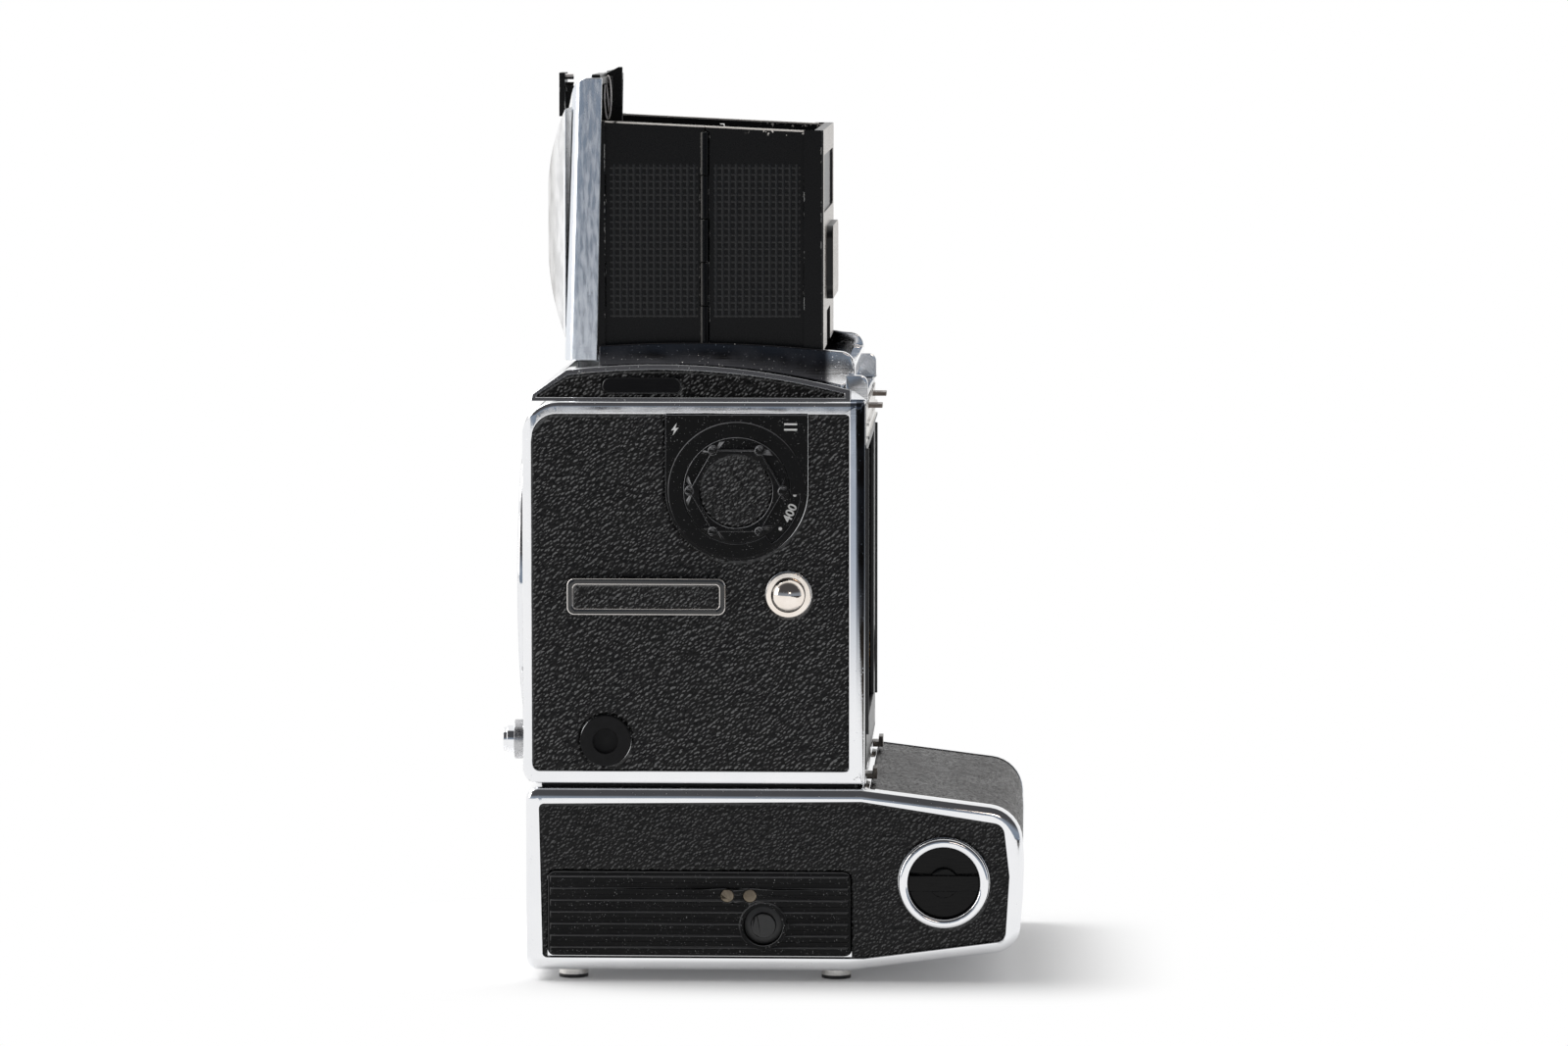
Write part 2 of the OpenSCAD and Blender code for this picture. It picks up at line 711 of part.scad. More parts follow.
module battery_cover() {
  z0 = bay_z0 + lay_gap;
  ribs = 7;
  pitch = 2.4;
  color([0.08, 0.08, 0.08]) difference() {
    union() {
      side_prism(-half_w - 0.1, -cavity_hw - 1) bay_outline(lay_gap);
      for (i = [0:ribs - 1]) let (z = z0 + 0.5 + i * pitch)
        block([bay_x0 + 0.6, -half_w - 0.7, z], [bay_x1 - 0.6, -half_w, z + 1.2]);
      bar_y([latch_x, -half_w - 0.9, latch_z], 1, 4.8);
    }
    bar_y([latch_x, -half_w - 2, latch_z], 5, 4);
    for (x = contact_xs) bar_y([x, -half_w - 2, contact_z], 5, 1.4);
  }
}

module battery_latch_button() {
  color("dimgray") union() {
    bar_y([latch_x, -half_w - 0.4, latch_z], 2.3, 2.5);
    bar_y([latch_x, -half_w + 0.9, latch_z], 1, 3.9);
  }
}

module battery_contacts() {
  color("goldenrod") for (x = contact_xs) bar_y([x, -half_w - 0.5, contact_z], 3.4, 1.35);
}

// Tray for five cells lying side by side
module battery_holder() {
  x0 = tray_x - cell_l / 2 - 2.4;
  x1 = tray_x + cell_l / 2 + 2.4;
  color([0.1, 0.1, 0.1]) difference() {
    block([x0, tray_y0, bay_z0 + 0.4], [x1, tray_y0 + tray_l, bay_z1 - 2]);
    block([x0 + 2.2, tray_y0 + 1.2, bay_z0 + 1], [x1 - 2.2, tray_y0 + tray_l - 1.2, bay_z1]);
  }
}

module batteries() {
  pitch = 14.4;
  color("steelblue") for (i = [0:4]) union() {
    bar_x([tray_x - cell_l / 2 + 1, tray_y0 + 1.3 + (i + 0.5) * pitch, cell_z], cell_l - 1, cell_d / 2);
    bar_x([tray_x - cell_l / 2, tray_y0 + 1.3 + (i + 0.5) * pitch, cell_z], 2, 2.7);
  }
}

module knob_bezel() {
  color("silver") difference() {
    union() {
      bar_y([knob_x, -half_w - 1.2, knob_z], 1.2 + pocket_d, 9.2);
      bar_y([knob_x, -pocket_y, knob_z], 1.5, 7.5);
    }
    bar_y([knob_x, -half_w - 3, knob_z], 9, 7.2);
  }
}

module mode_knob() {
  y = -half_w - 0.6;
  color([0.05, 0.05, 0.05]) union() {
    bar_y([knob_x, y + 1.8, knob_z], 1.4, 7.15);
    intersection() {
      bar_y([knob_x, y, knob_z], 3, 7.1);
      block([knob_x - 8, y, knob_z - 1.6], [knob_x + 8, y + 3, knob_z + 1.6]);
    }
    bar_y([knob_x, y + 0.4, knob_z], 2, 3);
    bar_y([knob_x, y + 3, knob_z], 8, 2.4);
  }
}

module drive_motor() {
  color("silver") difference() {
    union() {
      bar_y([knob_x, -28, knob_z], 60, motor_r);
      bar_y([knob_x, 32, knob_z], 1.5, 4);
    }
    bar_y([knob_x, 22, knob_z], 12, 1.2 + run_gap);
  }
}

module motor_pinion() {
  color("goldenrod") union() {
    bar_y([knob_x, 23, knob_z], gear_y + gear_t - 23, 1.2);
    side_prism(gear_y, gear_y + gear_t) translate([knob_x, knob_z]) gear_outline(pinion_teeth, gear_angle);
  }
}

// Drive gear on an arbor that turns in the base; a tooth gap faces the pinion
module drive_gear() {
  c = [knob_x, knob_z] + gear_c * [cos(gear_angle), sin(gear_angle)];
  color("goldenrod") union() {
    bar_y([c[0], gear_y - 2, c[1]], gear_t + 4, 2.5);
    side_prism(gear_y, gear_y + gear_t)
      translate(c) gear_outline(drive_teeth, gear_angle + 180 / drive_teeth);
  }
}

module circuit_board() {
  color("darkgreen") union() {
    block([-30, -38, 30], [16, 30, 31.6]);
    for (y = [-30, -12, 6]) block([-24, y, 31.6], [-6, y + 8, 34]);
    for (y = [-28, -8, 12]) bar_z([6, y, 31.5], 4, 3);
  }
}

module tripod_plate() {
  color("silver") difference() {
    union() {
      linear_extrude(foot_h) polygon(round_box(-21, -23, 21, 23, [3, 3, 3, 3]));
      bar_z([0, 0, 0], foot_h + base_wall, 8.9);
    }
    bar_z([0, 0, -1], foot_h + base_wall + 2, tripod_r);
    for (p = plate_screw_places) bar_z([p[0], p[1], -1], 8, 1.25);
    for (p = plate_screw_places) bar_z([p[0], p[1], -1], 1.8, 2.3);
  }
}

module rubber_feet() {
  color([0.05, 0.05, 0.05]) for (x = [-26.4, 27.1], y = [-38, 38]) bar_z([x, y, 0], foot_h, 3);
}

// ---- Hood ----

// Frame that carries the hood: arched side rails, and low bars at the front and rear
module hood_base() {
  xs = span_points(-20.9, 28, 10);
  color("silver") difference() {
    union() {
      hood_base_frame(xs);
      both_sides() side_prism(-11, -8) lid_ear();
    }
    bar_y([lid_pivot[0], -12, lid_pivot[1]], 24, lid_pin_r + run_gap);
  }
}

module hood_base_frame(xs) {
  union() {
    both_sides() side_prism(-38.1, -36.1) polygon(concat([for (x = xs) [x, seat_arch(x) + seat_gap]],
      [[30.8, floor_z]], arc([27.8, 124.4], 3, 0, 80, 8),
      [for (i = [9:-1:0]) [xs[i], rail_arch(xs[i])]]));
    block([-20.9, -36.3, floor_z], [-18.8, 36.3, floor_z + floor_t]);
    block([-20.9, -12, floor_z], [-18.8, 12, 126.9]);
    block([28.6, -36.3, floor_z], [30.8, 36.3, 124.4]);
    both_sides() block([-20.9, -36.9, floor_z], [28.8, -29.6, floor_z + floor_t]);
  }
}

// Eye on the hood base that the lid's pin turns in
module lid_ear() {
  union() {
    translate(lid_pivot) circle(r = 1.3);
    polygon([[-20.8, 124.2], [-18.8, 124.2], [-18.8, 126.9], [lid_pivot[0] + 1.3, lid_pivot[1]],
      [lid_pivot[0] - 1.1, lid_pivot[1] - 0.6]]);
  }
}

// Side view of the lid, leaning slightly to the rear
module lid_profile(inset = 0) {
  polygon(concat([[-21.4 - inset, lid_z0 + inset], [-20.3 - inset, lid_z1 - inset]],
    arc([-26.5 + inset + 3.4, lid_z1 - inset - 3.4], 3.4, 90, 180), [[-28.1 + inset, lid_z0 + inset]]));
}

// Body with rounded front corners in plan, inset from the lid's outside and leaning with its front face
module lid_plan(inset, r) {
  translate([-28.12, 0, lid_z0]) rotate([0, lid_lean, 0]) translate([inset, 0, -2])
    linear_extrude(lid_z1 - lid_z0 + 4) polygon(round_box(0, inset * 0.6 - lid_hw, 16, lid_hw - inset * 0.6,
      [0.2, r, r, 0.2]));
}

module lid_frame() {
  color("silver") difference() {
    union() {
      intersection() {
        lid_plan(0, 3);
        union() {
          difference() {
            side_prism(-lid_hw, lid_hw) lid_profile();
            intersection() {
              lid_plan(1.4, 1.8);
              difference() {
                side_prism(-36.2, 36.2) lid_profile(1.4);
                block([-40, -40, 120], [lid_floor_x - 2.6, 40, 126]);
              }
            }
            block([lid_floor_x, -36.2, lid_z0 - 1], [-10, 36.2, lid_z1 - 1.4]);
          }
          block([-26.2, -36.3, lid_z0 + 1.3], [lid_floor_x, 36.3, lid_z1 - 5]);
        }
      }
      both_sides() side_prism(-12.6, -11.1) lid_knuckle();
      side_prism(-7.9, 7.9) lid_knuckle();
      for (i = [1, 3]) both_sides() leaf_knuckle_on_lid(knuckle_z(i));
      block([-22.6, -36.2, lid_z1 - 1.6], [-20.7, 36.2, lid_z1 + 0.7]);
      both_sides() block([-22.4, -15.5, 179.6], [-19.5, -13.3, lid_z1]);
    }
    bar_y([magnifier_pivot[0], -16, magnifier_pivot[1]], 32, magnifier_pin_r + run_gap);
    block([-30, -1.3, catch_z - 0.7], [-23.8, 4.3, catch_z + 0.7]);
    block([-25.1, -2.3, catch_z - 1.5], [-22.7, 5.3, catch_z + 1.4]);
    both_sides() block([lid_pivot[0] - 1.8, -11.1, lid_z0 - 1], [-15, -7.9, lid_pivot[1] + 1.9]);
    bar_y([lid_pivot[0], -14, lid_pivot[1]], 28, lid_pin_r + run_gap);
    both_sides() bar_z([leaf_x0, -wall_y, leaf_z0], wall_h + 9, wall_pin_r + run_gap);
    block([-23.6, -13.3, 152], [-18, 13.3, lid_z1 + 1]);
  }
}

// Round eye around the lid's pin, standing on the lid's lower edge
module lid_knuckle() {
  union() {
    translate(lid_pivot) circle(r = 1.3);
    translate([lid_pivot[0] - 1.3, lid_z0 + 1]) square([2.1, lid_pivot[1] - lid_z0 - 1]);
  }
}

// Height at which a wall's hinge knuckle starts: even ones belong to one leaf, odd ones to the other
function knuckle_z(i) = leaf_z0 + 0.3 + i * knuckle_h;

module leaf_knuckle_on_lid(z) {
  h = knuckle_h - 0.2;
  bar_z([leaf_x0, -wall_y, z + 0.1], h, knuckle_r);
  block([lid_floor_x - 0.2, -wall_y - 0.6, z + 0.1], [leaf_x0 - 0.4, -wall_y + 0.6, z + 0.1 + h]);
}

// Domed cover on the front of the lid
module lid_cover() {
  cz = 153;
  bulge_x = -33.6;
  side_r = 50;
  plan_r = 108;
  color("silver") difference() {
    intersection() {
      bar_y([bulge_x + side_r, -34.5, cz], 69, side_r, $fn = 300);
      bar_z([bulge_x + plan_r, 0, 120], 60, plan_r, $fn = 400);
      block([-36, -34.5, 128.5], [-26, 34.5, 178]);
    }
    side_prism(-40, 40) lid_profile();
    block([-27.9, -40, 120], [0, 40, 190]);
  }
}

module lid_hinge_pin() {
  color("dimgray") bar_y([lid_pivot[0], -12.6, lid_pivot[1]], 25.2, lid_pin_r);
}

// Magnifier folded against the lid: a plate with a ring and a left cheek, hung from the lid's upper edge
module magnifier() {
  color([0.07, 0.07, 0.07]) difference() {
    union() {
      bar_x([-22.1, 0, magnifier_z], 2.6, magnifier_r);
      block([-22.1, -13, magnifier_z], [-21, 13, lid_z1 + 0.6]);
      bar_y([magnifier_pivot[0], -13, magnifier_pivot[1]], 26, 1.1);
      bar_y([magnifier_pivot[0], -15.2, magnifier_pivot[1]], 30.4, magnifier_pin_r);
      side_prism(-13, -12.2) polygon([[-21.9, 172.5], [-17.6, 172.5], [-17.6, 184.3],
        [-18.4, 184.3], [-21.5, 182.7], [-21.9, 182.4]]);
    }
    bar_x([-23, 0, magnifier_z], 5, 11.2);
  }
}

module magnifier_lens() {
  color([0.8, 0.85, 0.9, 0.5]) intersection() {
    bar_x([-21.7, 0, magnifier_z], 2.4, 11.15);
    translate([-19.4 - 34, 0, magnifier_z]) sphere(r = 34, $fn = 200);
  }
}

// Sliding catch: a blade in front of the lid, a neck in the lid's slot and a head behind it
module magnifier_catch() {
  color([0.07, 0.07, 0.07]) union() {
    block([-31.2, -4.5, 174], [-30, 4.5, 183]);
    block([-30.2, -1.2, catch_z - 0.6], [-24.9, 1.2, catch_z + 0.6]);
    block([-25, -2.2, catch_z - 1.4], [-24, 2.2, catch_z + 1.4]);
    side_prism(-0.6, 0.6) polygon([[-30.1, 174.2], [-30.1, 181], [-28.4, 181], [-29.8, 174.2]]);
    bar_x([-30.1, -2.5, 182.2], 1.8, 0.6);
  }
}

// Leaf of a folding wall on the left side, from hinge axis x0 to x0 + leaf_l.
// own says which knuckles the leaf carries at its two ends: 0 for even ones, 1 for odd ones
module wall_leaf(x0, z_top0, z_top1, own_front, own_rear) {
  x1 = x0 + leaf_l;
  y0 = -wall_y + leaf_gap;
  difference() {
    union() {
      side_prism(y0, y0 + leaf_t) polygon([[x0, leaf_z0], [x1, leaf_z0], [x1, z_top1], [x0, z_top0]]);
      leaf_knuckles(x0, own_front);
      leaf_knuckles(x1, own_rear);
    }
    knuckle_clearance(x0, 1 - own_front);
    knuckle_clearance(x1, 1 - own_rear);
    if (own_front == 1) bar_z([x0, -wall_y, leaf_z0 - 1], wall_h + 9, wall_pin_r + run_gap);
    if (own_rear == 1) bar_z([x1, -wall_y, leaf_z0 - 1], wall_h + 9, wall_pin_r + run_gap);
  }
  if (own_front == 0) bar_z([x0, -wall_y, knuckle_z(0) + 0.2], wall_h - 0.4, wall_pin_r);
  if (own_rear == 0) bar_z([x1, -wall_y, knuckle_z(0) + 0.2], wall_h - 0.4, wall_pin_r);
}

module leaf_knuckles(x, own) {
  for (i = [own:2:knuckle_count - 1]) bar_z([x, -wall_y, knuckle_z(i) + 0.1], knuckle_h - 0.2, knuckle_r);
}

// Room in a leaf for the knuckles of its neighbour
module knuckle_clearance(x, other) {
  for (i = [other:2:knuckle_count - 1]) let (z = knuckle_z(i))
    block([x - 0.95, -wall_y - 1, z - 0.05], [x + 0.95, -wall_y + 2, z + knuckle_h + 0.05]);
}

module left_front_leaf() { color([0.07, 0.07, 0.07]) wall_leaf(leaf_x0, wall_z1, wall_z1 - 1, 0, 0); }
module right_front_leaf() { color([0.07, 0.07, 0.07]) mirror([0, 1, 0]) left_front_leaf(); }
module left_rear_leaf() {
  color([0.07, 0.07, 0.07]) wall_leaf(leaf_x0 + leaf_l, wall_z1 - 1, wall_z1 - 2, 1, 0);
}
module right_rear_leaf() { color([0.07, 0.07, 0.07]) mirror([0, 1, 0]) left_rear_leaf(); }

// Rear panel of the hood: a raised boss and a window recess on its rear face, and a notch that clears
// the lid's hinge when the hood is closed
module rear_panel() {
  x0 = panel_x + 1.15;
  x1 = x0 + 1.9;
  h = knuckle_h - 0.2;
  color("gainsboro") difference() {
    union() {
      block([x0, -35.8, leaf_z0], [x1, 35.8, wall_z1 - 1.9]);
      for (i = [1, 3]) both_sides() let (z = knuckle_z(i) + 0.1) {
        bar_z([panel_x, -wall_y, z], h, knuckle_r);
        block([panel_x + 0.4, -wall_y - 0.6, z], [x0 + 0.2, -wall_y + 0.6, z + h]);
      }
      front_prism(x1 - 0.1, x1 + 1.5) polygon(round_box(-19, 137, 19, 152, [3, 3, 3, 3]));
    }
    both_sides() bar_z([panel_x, -wall_y, leaf_z0 - 1], wall_h + 9, wall_pin_r + run_gap);
    front_prism(x1 - 0.6, x1 + 1) polygon(round_box(-31, 155, 31, 166.7, [1, 1, 1, 1]));
    block([x0 - 1, -12, leaf_z0 - 1], [x1 + 1, 12, 134.3]);
  }
}

body_shell();
body_side_leathers();
front_leather();
top_cover();
shoulder_leathers();
name_plate();
lens_mount();
mirror_box();
mirror_frame();
mirror_glass();
screen_frame();
focusing_screen();
upper_shutter_flap();
lower_shutter_flap();
rear_plate();
plate_screws();
magazine_upper_hooks();
magazine_lower_hooks();
magazine_drive_gear();
lens_drive_shaft();
release_button();
release_collar();
lens_release_button();
accessory_rail();
strap_lugs();
flash_socket();
flash_cap();
iso_plate();
iso_scale_disc();
iso_dial();
dial_leather();
base_shell();
base_gasket();
base_side_leathers();
base_wrap_leather();
battery_cover();
battery_latch_button();
battery_contacts();
battery_holder();
batteries();
knob_bezel();
mode_knob();
drive_motor();
motor_pinion();
drive_gear();
circuit_board();
tripod_plate();
rubber_feet();
hood_base();
lid_frame();
lid_cover();
lid_hinge_pin();
magnifier();
magnifier_lens();
magnifier_catch();
left_front_leaf();
left_rear_leaf();
right_front_leaf();
right_rear_leaf();
rear_panel();
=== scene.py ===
"""Looks of a motor-driven reflex camera body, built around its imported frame.

Sizes are in millimetres and are turned into Blender's metres by MM. Relief sheets stand for the leather nodes
and rounded shells for the two housings. The other CAD nodes stay, and get bevelled edges and a finish.
"""

import json
import math

import bmesh
import bpy
import numpy as np
from mathutils import Matrix, Vector, geometry
from mathutils.bvhtree import BVHTree
from mathutils.kdtree import KDTree

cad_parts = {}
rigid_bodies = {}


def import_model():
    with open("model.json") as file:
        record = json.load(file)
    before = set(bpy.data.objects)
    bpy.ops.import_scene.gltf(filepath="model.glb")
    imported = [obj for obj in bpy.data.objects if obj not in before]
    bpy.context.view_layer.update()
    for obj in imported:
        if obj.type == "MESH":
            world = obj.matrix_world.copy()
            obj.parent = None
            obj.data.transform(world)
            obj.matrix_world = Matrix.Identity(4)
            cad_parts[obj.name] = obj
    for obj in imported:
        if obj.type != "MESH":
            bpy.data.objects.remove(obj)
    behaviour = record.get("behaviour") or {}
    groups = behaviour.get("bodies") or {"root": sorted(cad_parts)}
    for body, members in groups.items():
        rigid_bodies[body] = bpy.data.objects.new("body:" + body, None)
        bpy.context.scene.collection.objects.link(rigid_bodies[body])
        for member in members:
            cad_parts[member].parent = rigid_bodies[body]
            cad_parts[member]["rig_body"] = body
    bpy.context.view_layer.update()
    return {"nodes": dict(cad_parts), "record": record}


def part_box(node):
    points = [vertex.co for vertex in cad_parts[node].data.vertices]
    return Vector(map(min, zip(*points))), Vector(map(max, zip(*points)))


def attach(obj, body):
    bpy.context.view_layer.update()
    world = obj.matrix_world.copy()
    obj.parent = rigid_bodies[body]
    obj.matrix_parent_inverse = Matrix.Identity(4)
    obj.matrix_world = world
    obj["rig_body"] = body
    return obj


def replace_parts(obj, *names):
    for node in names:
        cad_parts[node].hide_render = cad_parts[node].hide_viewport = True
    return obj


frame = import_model()

MM = 0.001
NODES = frame["nodes"]
SLOT_OF = {p["node"]: p["material_slot"] for p in frame["record"]["subparts"]}


def box_mm(node):
    """Lowest and highest corner of a CAD node in millimetres."""
    low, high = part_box(node)
    return low / MM, high / MM


# ---- Finishes ----

# Where a finish changes along a piece, in millimetres, from the first tone to the second
# Over this span the hood base's painted reflection turns from dark to bright.
HOOD_BASE_END_X = (24.5, 26.5)
CHIPPED_LEAF_X = (8.0, 12.0)
CATCH_STUD_X = (-30.0, -29.9)
CATCH_STUD_Z = (182.15, 182.2)
# The shell's painted rear-rim reflection: where it begins along the camera for the rim and for the rear edge,
# and where it rises with height.
SHELL_RIM_X = (29.9, 30.2)
SHELL_REAR_EDGE_X = (31.1, 31.4)
PAINTED_REFLECTION_Z = (52.0, 90.0)
GATE_TOP_Z = (108.6, 108.3)  # on the rear plate's front face; it rises by GATE_SLOPE towards the rear
FOOT_PAD_Z = (0.75, 0.7)
PANEL_SKIN = (0.12, 0.06)  # the same, measured forwards from the panel's rear face
WRAP_BAND = (14.0, 13.8)  # the same, from the cells' rear ends
RUBBED_EDGE = (-0.40, -0.28)  # the same, from a leaf's top edge
CHIPPED_EDGE = (-1.6, -0.8)

TOWARDS_LIGHT = (-0.5, -0.3, 0.85)
LIT_SLOPE = (0.065, 0.165)
ROUNDED_EDGE = (0.998, 0.955)  # agreement of the rounded and the plain normal, from flat to edge
# Colour of bare metal on worn leaf edges, and of the painted highlight line on the hinge tubes.
BARE_METAL_AND_PAINTED_SHINE = (0.80, 0.76, 0.71)
DEEP_BLACK = (0.004, 0.004, 0.0045)


class Graph:
    """A node tree, with short calls for the nodes that finishes and the studio share."""

    def __init__(self, tree):
        self.nodes = tree.nodes
        self.links = tree.links

    def add(self, kind, settings=None, **inputs):
        """A new node. Inputs are given by name, with _ for a space, as values or as outputs of nodes."""
        node = self.nodes.new("ShaderNode" + kind)
        for key, value in (settings or {}).items():
            setattr(node, key, value)
        for key, value in inputs.items():
            self.feed(node.inputs[key.replace("_", " ")], value)
        return node

    def feed(self, socket, value):
        if isinstance(value, bpy.types.NodeSocket):
            self.links.new(value, socket)
        else:
            socket.default_value = value

    def math(self, operation, a, b=0.0):
        node = self.add("Math", {"operation": operation})
        self.feed(node.inputs[0], a)
        self.feed(node.inputs[1], b)
        return node.outputs[0]

    def times(self, a, b):
        return self.math("MULTIPLY", a, b)

    def span(self, value, low, high, to_low=0.0, to_high=1.0):
        """Maps value from low..high to to_low..to_high, and holds it there."""
        node = self.add("MapRange", {"interpolation_type": "SMOOTHSTEP"}, Value=value)
        for key, number in zip(("From Min", "From Max", "To Min", "To Max"), (low, high, to_low, to_high)):
            self.feed(node.inputs[key], number)
        return node.outputs["Result"]

    def mix(self, share, a, b):
        """Colour a where share is 0 and b where it is 1."""
        node = self.add("Mix", {"data_type": "RGBA"})
        self.feed(node.inputs[0], share)
        for socket, colour in ((node.inputs[6], a), (node.inputs[7], b)):
            self.feed(socket, (*colour, 1) if isinstance(colour, tuple) else colour)
        return node.outputs[2]

    def blend(self, share, a, b):
        """Shader a where share is 0 and b where it is 1."""
        node = self.add("MixShader")
        for socket, value in zip(node.inputs, (share, a, b)):
            self.feed(socket, value)
        return node.outputs[0]


class Finish(Graph):
    """A node material around one principled surface."""

    def __init__(self, name, rough, metal=0.0, colour=(0.5, 0.5, 0.5)):
        self.name = name
        self.material = bpy.data.materials.new(name)
        self.material.use_nodes = True
        super().__init__(self.material.node_tree)
        self.surface = self.nodes["Principled BSDF"]
        self.put("Roughness", rough)
        self.put("Metallic", metal)
        self.put("Base Color", (*colour, 1))
        self.place = self.add("TexCoord").outputs["Object"]

    def put(self, name, value):
        self.feed(self.surface.inputs[name], value)

    def tone(self, share, a, b):
        """Colours the surface a where share is 0 and b where it is 1."""
        self.put("Base Color", self.mix(share, a, b))

    def spots(self, size, stretch=(1, 1, 1), detail=3.0):
        """Noise whose features are about size millimetres across, longer where stretch is above 1."""
        scale = [1 / (size * MM * s) for s in stretch]
        laid = self.add("Mapping", Vector=self.place, Scale=scale)
        return self.add("TexNoise", Vector=laid.outputs[0], Scale=1.0, Detail=detail).outputs["Fac"]

    def grain_light(self, size, angle, step):
        """Light on the upper flanks of long grains that lie at an angle in the side view, 0 elsewhere.

        The slope is the difference between two heights that lie step millimetres apart, towards the light.
        """
        heights = []
        for distance in (0.0, step * MM):
            at = self.add("VectorMath", {"operation": "ADD"})
            self.feed(at.inputs[0], self.place)
            at.inputs[1].default_value = [distance * part for part in TOWARDS_LIGHT]
            laid = self.add("Mapping", {"vector_type": "TEXTURE"}, Vector=at.outputs[0],
                            Rotation=(0, -math.radians(angle), 0), Scale=[a * MM for a in size])
            cells = self.add("TexVoronoi", Vector=laid.outputs[0], Scale=1.0)
            heights.append(cells.outputs["Distance"])
        slope = self.math("SUBTRACT", heights[1], heights[0])
        return self.span(slope, *LIT_SLOPE)

    def relief(self, height, depth):
        """Bump of the given depth in millimetres."""
        under = self.surface.inputs["Normal"]
        node = self.add("Bump", Height=height, Distance=depth * MM)
        if under.is_linked:
            self.links.new(under.links[0].from_socket, node.inputs["Normal"])
        self.put("Normal", node.outputs[0])

    def edge(self, radius):
        """1 on edges within about radius millimetres, 0 on flat areas."""
        round_normal = self.add("Bevel", {"samples": 8}, Radius=radius * MM).outputs[0]
        plain = self.add("NewGeometry").outputs["Normal"]
        dot = self.add("VectorMath", {"operation": "DOT_PRODUCT"})
        self.feed(dot.inputs[0], round_normal)
        self.feed(dot.inputs[1], plain)
        return self.span(dot.outputs["Value"], *ROUNDED_EDGE)

    def normal_parts(self):
        """The three coordinates of the surface normal in the piece's own frame."""
        split = self.add("SeparateXYZ", Vector=self.nodes["Texture Coordinate"].outputs["Normal"])
        return split.outputs

    def tilted(self, low=0.0):
        """1 on the bevels between the side face and the walls of a piece, and low on those that face down."""
        normal = self.normal_parts()
        sideways = self.math("ABSOLUTE", normal[1])
        bevel = self.times(self.span(sideways, 0.985, 0.94), self.span(sideways, 0.1, 0.25))
        # Bevels that face up and to the left, towards the light, count most: this mask places painted
        # highlights.
        lean = self.math("SUBTRACT", normal[2], self.times(normal[0], 0.5))
        return self.times(bevel, self.span(lean, -0.1, 0.6, low, 1.0))

    def part(self, axis):
        """One coordinate of the point, in millimetres."""
        split = self.add("SeparateXYZ", Vector=self.place)
        return self.times(split.outputs["XYZ".index(axis)], 1 / MM)

    def along(self, axis, low, high):
        """Rises from 0 where the coordinate is low to 1 where it is high, in millimetres."""
        return self.span(self.part(axis), low, high)

    def distance(self, axis):
        """Distance from the plane through the frame's origin across an axis, in millimetres."""
        return self.math("ABSOLUTE", self.part(axis))

    def source(self, name):
        """The output that feeds an input of the surface now."""
        return self.surface.inputs[name].links[0].from_socket


def chrome(name="chrome"):
    """Polished chrome with hairline scratches and a few duller patches."""
    f = Finish(name, 0.08, 1.0)
    patches = f.spots(7.0, detail=2.0)
    hair = f.spots(0.16, stretch=(60, 60, 1), detail=2.0)
    pits = f.span(f.spots(0.5, detail=1.0), 0.70, 0.76)
    f.put("Roughness", f.math("ADD", f.span(patches, 0.35, 0.7, 0.05, 0.12), f.times(pits, 0.25)))
    f.tone(patches, (0.80, 0.81, 0.83), (0.90, 0.90, 0.91))
    f.relief(hair, 0.0012)
    return f


def satin_metal(name="satin_metal"):
    """Light metal with a fine grain along its width."""
    f = Finish(name, 0.3, 1.0)
    grain = f.spots(0.12, stretch=(1, 60, 1), detail=2.0)
    f.tone(f.spots(9.0), (0.66, 0.64, 0.61), (0.78, 0.76, 0.73))
    f.put("Roughness", f.span(grain, 0.3, 0.7, 0.24, 0.4))
    f.relief(grain, 0.004)
    return f


def leather(name, grain, light, tint=(1.0, 1.0, 1.0)):
    """Black leather. The pebbles are geometry, and this adds pores, the light on each grain and duller areas.

    Grain is the size of a grain in millimetres, light its brightness, and tint the colour of both.
    """
    f = Finish(name, 0.4)
    pores = f.spots(0.14, detail=4.0)
    wear_and_edge_highlight = f.spots(11.0, detail=2.0)
    lit = f.times(f.grain_light(grain, 40.0, 0.13), f.span(f.spots(0.9), 0.3, 0.6, 0.35, 1.0))
    sheen = f.math("MAXIMUM", f.add("Attribute", {"attribute_name": "sheen"}).outputs["Fac"], lit)
    black = f.mix(wear_and_edge_highlight, (0.0022, 0.0022, 0.0024), (0.0060, 0.0058, 0.0058))
    f.tone(sheen, black, tuple(light * t for t in tint))
    f.put("Specular Tint", (*tint, 1))
    f.put("Roughness", f.span(f.math("ADD", pores, f.times(wear_and_edge_highlight, 0.5)), 0.5, 1.0, 0.22, 0.38))
    f.put("Specular IOR Level", 0.19)
    f.relief(pores, 0.02)
    return f


def ledge_leather():
    """The base's rear covering: the same leather, with a dimmer, warm painted highlight on its grains, a warm
    specular tint and a coarser bump.
    """
    f = leather("ledge_leather", (0.9, 0.9, 0.9), 0.06, (1.0, 0.90, 0.83))
    f.put("Specular IOR Level", 0.2)
    f.relief(f.spots(0.8, detail=2.0), 0.10)
    return f


def edged_plastic(name, edge_highlight_colour):
    """Matt black plastic with painted highlights along its edges, brightest on bevels that face up and to the
    left.
    """
    f = black_plastic(name)
    plain = f.source("Base Color")
    # Painted highlight: half strength on every edge, full on bevels that lean towards the light.
    wear_and_edge_highlight = f.math("MAXIMUM", f.times(f.edge(0.16), 0.5), f.tilted())
    f.tone(wear_and_edge_highlight, plain, edge_highlight_colour)
    return f


